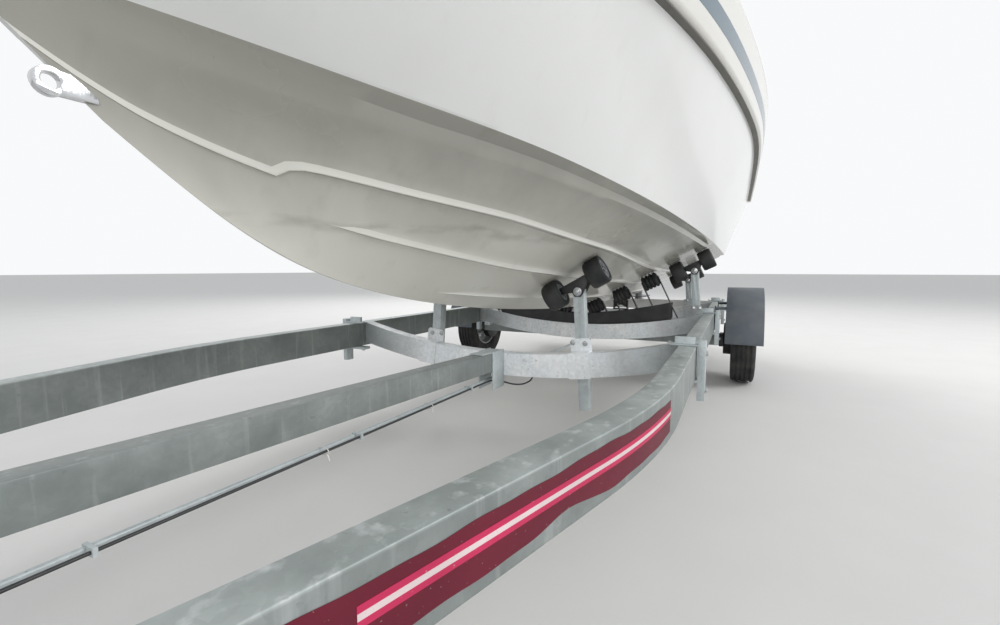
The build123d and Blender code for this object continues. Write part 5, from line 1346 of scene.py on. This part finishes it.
# %% The tyre's profile
# Half of the tyre's outline from the bead: radius and offset from its middle
TYRE_HALF = (
    (0.1655, 0.050),
    (0.1675, 0.058),
    (0.1780, 0.068),
    (0.1960, 0.0755),
    (0.2120, 0.0765),
    (0.2300, 0.0770),
    (0.2340, 0.0773),
    (0.2480, 0.0760),
    (0.2620, 0.0735),
    (0.2740, 0.0685),
    (0.2810, 0.0620),
    (0.2845, 0.0540),
)
# Tread from its shoulder to its middle: edges of the ribs, and of the grooves between them
TREAD_HALF = (
    (0.2852, 0.0430),
    (0.2785, 0.0415),
    (0.2785, 0.0370),
    (0.2860, 0.0355),
    (0.2870, 0.0160),
    (0.2795, 0.0145),
    (0.2795, 0.0100),
    (0.2872, 0.0085),
    (0.2873, 0.0000),
)
TYRE_STEPS, BLOCK_EVERY = 160, 4
# Radius beyond which a face is tread, and the offsets between which each cut rib lies
TREAD_FROM, CUT_RIBS = 0.2838, ((0.0165, 0.0350), (0.0435, 0.0600))
WHEEL_X, WHEEL_Y, WHEEL_Z = -1.975, 1.0, 0.288

# %% Spinning the tyre and cutting its tread
half_tyre = [*TYRE_HALF, *TREAD_HALF]
outline = half_tyre + [(radius, -y) for radius, y in reversed(half_tyre[:-1])]
tyre_mesh = bpy.data.meshes.new("tyre")
tyre = bpy.data.objects.new("tyre", tyre_mesh)
bpy.context.scene.collection.objects.link(tyre)
tyre_mesh.from_pydata(
    [(radius, y, 0) for radius, y in outline], [(index, index + 1) for index in range(len(outline) - 1)], []
)
in_edit(tyre, ("spin", {"steps": TYRE_STEPS, "angle": math.tau, "center": (0, 0, 0), "axis": (0, 1, 0)}))
in_edit(tyre, ("remove_doubles", {"threshold": 0.0001}), OUTWARD)

step_turn = math.tau / TYRE_STEPS
chosen = 0
for face in tyre.data.polygons:
    radius = math.hypot(face.center.x, face.center.z)
    turn = int((math.atan2(face.center.z, face.center.x) % math.tau) / step_turn)
    on_rib = radius > TREAD_FROM and any(low < abs(face.center.y) < high for low, high in CUT_RIBS)
    staggered = turn + (BLOCK_EVERY // 2 if face.center.y > 0 else 0)
    face.select = on_rib and staggered % BLOCK_EVERY == 0
    chosen += face.select
only(tyre)
bpy.ops.object.mode_set(mode="EDIT")
bpy.ops.mesh.select_mode(type="FACE")
bpy.ops.mesh.inset(thickness=0.0016, depth=-0.0055)
bpy.ops.mesh.select_mode(type="VERT")
bpy.ops.object.mode_set(mode="OBJECT")
smooth(tyre, 38)
painted(tyre, TYRE)
print("tyre faces:", len(tyre.data.polygons), "cut:", chosen)

# %% A tyre on each side
LUG_CIRCLE, LUG_OUT, LUG_SIZE = 0.049, 0.027, 0.95
for side, side_name in SIDES:
    shift = Matrix.Translation((WHEEL_X, side * WHEEL_Y, WHEEL_Z))
    road_tyre = repeated(tyre, "road_tyre_" + side_name, [shift])
    placed(road_tyre, "wheel_" + side_name, "tyre_rubber", "tyre_" + side_name)
    wheel_bolts = []
    for index in range(4):
        angle = math.radians(45 + 90 * index)
        x, z = WHEEL_X + LUG_CIRCLE * math.cos(angle), WHEEL_Z + LUG_CIRCLE * math.sin(angle)
        wheel_bolts.append(towards((x, side * (WHEEL_Y + LUG_OUT), z), (0, side, 0), LUG_SIZE))
    lug_nuts = repeated(NUT, "lug_nuts_" + side_name, wheel_bolts)
    painted(lug_nuts, ZINC_BOLT)
    placed(lug_nuts, "wheel_" + side_name, "wheel_steel")
bpy.data.objects.remove(tyre)
print("tyres on both wheels")

# %% [markdown]
# A boat's cushion is foam in vinyl: crowned, with rounded corners, and its sides drawn in between the
# corners by the stitching. Each starts as a block a little smaller than its place, is remeshed evenly
# and blown up as a cloth under pressure, which crowns it as real filling does. How far a
# point may move is capped. A squab's underside is kept flat, and the sewn channels are pressed in
# afterwards.

# %% Helpers for the cushions
# Size of the even mesh, how hard the stuffing presses, and for how many frames
VOXEL, PRESSURE, FRAMES_RUN = 0.009, 4.0, 20
CLOTH_SETTINGS = {
    "quality": 5,
    "use_pressure": True,
    "uniform_pressure_force": PRESSURE,
    "tension_stiffness": 12,
    "compression_stiffness": 12,
    "bending_stiffness": 0.8,
}
# Rounding of a pad's edges, how much more its corners draw in, and how far it counts as filled
PAD_EDGE, CORNER_INSET, PAD_FILL = 0.026, 1.4, 0.75
# Width and depth of a sewn channel
CHANNEL = 0.006


def pad_block(name, corners, half, inset, y):
    """A block shrunk by an inset from its corners (x, z), low rear one first, and its half width."""
    pad = primitive("cube", name, size=2, location=(0, 0, 0))
    middle = Vector((sum(c[0] for c in corners) / 4, 0, sum(c[1] for c in corners) / 4))
    for vertex in pad.data.vertices:
        ahead = int(vertex.co.x > 0)
        x, z = corners[ahead if vertex.co.z < 0 else 3 - ahead]
        at = Vector((x, 0, z))
        at += (middle - at).normalized() * inset * CORNER_INSET
        vertex.co = (at.x, math.copysign(half - inset, vertex.co.y), at.z)
    modified(pad, "BEVEL", width=PAD_EDGE, segments=3)
    modified(pad, "REMESH", mode="VOXEL", voxel_size=VOXEL)
    for vertex in pad.data.vertices:
        vertex.co.y += y
    return pad


def inflated(pad, cap, floor_z):
    """The pad blown up by the cloth solver, each point kept within a cap of where it began."""
    start = [vertex.co.copy() for vertex in pad.data.vertices]
    only(pad)
    cloth = pad.modifiers.new("stuffing", "CLOTH")
    for setting, value in CLOTH_SETTINGS.items():
        setattr(cloth.settings, setting, value)
    cloth.settings.effector_weights.gravity = 0
    cloth.point_cache.frame_start = 1
    cloth.point_cache.frame_end = FRAMES_RUN
    for number in range(1, FRAMES_RUN + 1):
        bpy.context.scene.frame_set(number)
    blown = pad.evaluated_get(bpy.context.evaluated_depsgraph_get())
    ends = [vertex.co.copy() for vertex in blown.data.vertices]
    pad.modifiers.remove(cloth)
    for vertex, before, after in zip(pad.data.vertices, start, ends):
        move = after - before
        if move.length > cap:
            move *= cap / move.length
        vertex.co = before + move
        if floor_z is not None:
            vertex.co.z = max(vertex.co.z, floor_z)
    bpy.context.scene.frame_set(1)


def stitched(pad, lines):
    """Press sewn channels into a pad at offsets to port, each a soft groove against its normals."""
    normals = [vertex.normal.copy() for vertex in pad.data.vertices]
    for vertex, normal in zip(pad.data.vertices, normals):
        press = sum(math.exp(-(((vertex.co.y - line) / CHANNEL) ** 2)) for line in lines)
        vertex.co -= normal * CHANNEL * min(1, press)


def cushion(name, node, corners, half, y, channels, cap, inset, floor_z=None):
    pad = pad_block(name, corners, half, inset, y)
    inflated(pad, cap, floor_z)
    modified(pad, "SUBSURF", levels=1)
    stitched(pad, channels)
    smooth(pad, 60)
    painted(pad, VINYL)
    placed(pad, TRAILER, "seat_vinyl", node)
    print(name, "faces", len(pad.data.polygons))


def set_at(x, z, shape):
    return [(x + ahead, z + up) for ahead, up in shape]


# %% [markdown]
# The pair of front seats is the same seat twice: a squab with a turned-up front edge, and a back that
# leans aft. The bench has one long squab and one long back, each sewn into three places.

# %% The front seats' cushions
SEAT_X, SEAT_BASE, SEAT_Y, SEAT_HALF = -1.255, 1.280, 0.400, 0.228
SEAT_CHANNEL, SEAT_CAP, SEAT_INSET = 0.075, 0.014, 0.010
# How far above its base a squab's flat underside stays
LIFT = 0.001
SQUAB = ((-0.190, 0.002), (0.246, 0.002), (0.250, 0.098), (-0.150, 0.082))
BACKREST = ((-0.262, 0.066), (-0.160, 0.092), (-0.222, 0.500), (-0.286, 0.498))
SEAT_PARTS = (("squab", SQUAB, SEAT_BASE + LIFT), ("backrest", BACKREST, None))
for side, side_name in SIDES:
    middle = side * SEAT_Y
    lines = (middle - SEAT_CHANNEL, middle + SEAT_CHANNEL)
    for part, shape, floor_z in SEAT_PARTS:
        name, corners = "seat_" + part + "_" + side_name, set_at(SEAT_X, SEAT_BASE, shape)
        cushion(name, "seat_pads", corners, SEAT_HALF, middle, lines, SEAT_CAP, SEAT_INSET, floor_z)

# %% The bench's cushions
BENCH_X, BENCH_TOP, BENCH_HALF = -2.475, 1.230, 0.622
BENCH_SQUAB = ((0.010, 0.002), (0.468, 0.002), (0.470, 0.098), (0.118, 0.084))
BENCH_BACK = ((0.004, 0.070), (0.116, 0.092), (0.058, 0.392), (0.006, 0.396))
BENCH_LINES = (-0.42, -0.21, 0.0, 0.21, 0.42)
# Name, shape, how far it may swell, how much smaller it starts, and its flat underside's height
BENCH_PARTS = (
    ("bench_squab", BENCH_SQUAB, 0.012, 0.010, BENCH_TOP + LIFT),
    ("bench_backrest", BENCH_BACK, 0.010, 0.008, None),
)
for name, shape, cap, inset, floor_z in BENCH_PARTS:
    corners = set_at(BENCH_X, BENCH_TOP, shape)
    cushion(name, "bench_pads", corners, BENCH_HALF, 0, BENCH_LINES, cap, inset, floor_z)
print("cushions stuffed")

# %% [markdown]
# The engine cover is two mouldings that meet in a rubber seal, with a catch behind. The seal and the
# accent line are cut from a copy of the cover itself, by bisecting it at two heights and thickening
# what is left, so they follow its every curve. Louvres at the back let the engine breathe.

# %% The engine cover's seal, line, louvres and catch
ACCENT = moulded("grey accent vinyl", (0.34, 0.36, 0.38), (0.24, 0.25, 0.26), 0.3, 0.4)
# Name, height of its lower and upper edge, thickness, finish and slot of each belt round the cover
BELTS = (
    ("cowl_seal", 1.226, 1.236, 0.0028, PLASTIC, "black_plastic"),
    ("cowl_line", 1.452, 1.468, 0.0006, ACCENT, "engine_paint"),
    ("cowl_thin_line", 1.436, 1.440, 0.0006, ACCENT, "engine_paint"),
)
CATCH_SIZE, CATCH_AT = (0.014, 0.060, 0.050), (-4.067, 0, 1.232)
LOUVRES, LOUVRE_SIZE, LOUVRE_AT = 4, (0.014, 0.190, 0.007), (-4.060, 0, 1.500)
# How much narrower, further forward and higher each louvre is than the one under it
LOUVRE_NARROWER, LOUVRE_AHEAD, LOUVRE_PITCH = 0.012, 0.002, 0.020


def belt(name, low, high, thickness, finish, slot_name):
    """The part of the cover between two heights, thickened outward."""
    piece = repeated(bpy.data.objects["engine_cowl_finished"], name, [Matrix.Identity(4)])
    only(piece)
    bpy.ops.object.mode_set(mode="EDIT")
    for height, inner, outer in ((low, True, False), (high, False, True)):
        bpy.ops.mesh.select_all(action="SELECT")
        bpy.ops.mesh.bisect(
            plane_co=(0, 0, height), plane_no=(0, 0, 1), use_fill=False, clear_inner=inner, clear_outer=outer
        )
    bpy.ops.object.mode_set(mode="OBJECT")
    modified(piece, "SOLIDIFY", thickness=thickness, offset=1)
    smooth(piece, 40)
    painted(piece, finish)
    placed(piece, "engine", slot_name)


for row in BELTS:
    belt(*row)
placed(block("cowl_catch", CATCH_SIZE, CATCH_AT, 0.004, STAINLESS), "engine", "stainless_steel")
louvres = []
for index in range(LOUVRES):
    deep, wide, tall = LOUVRE_SIZE
    x, y, z = LOUVRE_AT
    size = (deep, wide - LOUVRE_NARROWER * index, tall)
    place = (x + LOUVRE_AHEAD * index, y, z + LOUVRE_PITCH * index)
    louvres.append(block("louvre", size, place, 0.002, PLASTIC))
placed(joined("cowl_louvres", louvres), "engine", "black_plastic")
print("engine cover's trim:", len(louvres), "louvres")

# %% [markdown]
# At the helm, round gauges stand over the wheel and a row of switches beside it, and the throttle
# lever stands in its box on the side of the cockpit. They are fixed here: none of them has a joint.

# %% Gauges, switches and throttle
DIAL = moulded("dial face", (0.80, 0.80, 0.78), (0.62, 0.62, 0.60), 0.3, 0.5)
DASH_TOP, DASH_FOOT = Vector((-0.525, 0, 1.650)), Vector((-0.565, 0, 1.400))
dash_down = (DASH_FOOT - DASH_TOP).normalized()
dash_out = Vector((dash_down.z, 0, -dash_down.x))


def on_dash(y, height, proud=0.0):
    """The point of the dash's face at an offset to port and a height, moved out by a little."""
    share = (height - DASH_TOP.z) / (DASH_FOOT.z - DASH_TOP.z)
    at = DASH_TOP + (DASH_FOOT - DASH_TOP) * share + dash_out * proud
    return Vector((at.x, y, at.z))


MARK_RADIUS, MARK_UP, MARK_SIZE = 0.032, 0.0096, (0.008, 0.0014, 0.0006)
bezel = stacked("bezel", ((40, 0.0440, 0.0035, 0.009), (40, 0.0470, 0.0015, 0.005)))
dial = stacked("dial", ((40, 0.0385, 0.0086, 0.0014),))
marks = []
for turn in range(-120, 121, 30):
    marks.append(ray_bar("mark", math.radians(90 - turn), MARK_RADIUS, MARK_UP, MARK_SIZE))
needle = primitive("cone", "needle", vertices=8, radius1=0.0028, depth=0.030, location=(0, 0, 0))
needle.rotation_euler = (math.radians(90), 0, math.radians(50))
needle.location = (-0.010, 0.009, 0.0102)
marks = joined("marks", (*marks, settled(needle)))
# Offset to port, height and size of each gauge
GAUGES = ((-0.52, 1.600, 0.8), (-0.40, 1.606, 1.0), (-0.28, 1.600, 0.8), (-0.185, 1.600, 0.7))
gauge_places = [towards(on_dash(y, z), dash_out, size) for y, z, size in GAUGES]
GAUGE_PARTS = (
    (bezel, "gauge_bezels", PLASTIC),
    (dial, "gauge_dials", DIAL),
    (marks, "gauge_marks", JOINT_SHADE_AND_MARK_GREY),
)
for pattern, name, finish in GAUGE_PARTS:
    gauges = repeated(pattern, name, gauge_places)
    painted(gauges, finish)
    placed(gauges, TRAILER, "black_plastic")
    bpy.data.objects.remove(pattern)

# %% Switches and throttle
SWITCHES, SWITCH_FIRST, SWITCH_PITCH, SWITCH_HIGH = 6, 0.10, 0.045, 1.560
# Name, size, place, rounded edge and finish of each part of the throttle, the box last
THROTTLE = (
    ("throttle_lever", (0.018, 0.012, 0.150), (-0.790, -0.656, 1.470), 0.005, STAINLESS),
    ("throttle_knob", (0.032, 0.085, 0.030), (-0.790, -0.636, 1.548), 0.012, PLASTIC),
    ("throttle_box", (0.150, 0.052, 0.120), (-0.800, -0.690, 1.380), 0.012, PLASTIC),
)
switches = []
for index in range(SWITCHES):
    at = on_dash(SWITCH_FIRST + SWITCH_PITCH * index, SWITCH_HIGH, 0.004)
    switches.append(block("switch", (0.010, 0.018, 0.030), at, 0.003, BLACK_PAINT))
placed(joined("switches", switches), TRAILER, "black_plastic")
placed(joined("throttle", [block(*row) for row in THROTTLE]), TRAILER, "black_plastic")
print("helm fitted out with", len(GAUGES), "gauges and", len(switches), "switches")

# %% Clearing the patterns
for pattern in (BOLT_HEAD, NUT):
    bpy.data.objects.remove(pattern)
print("patterns cleared")
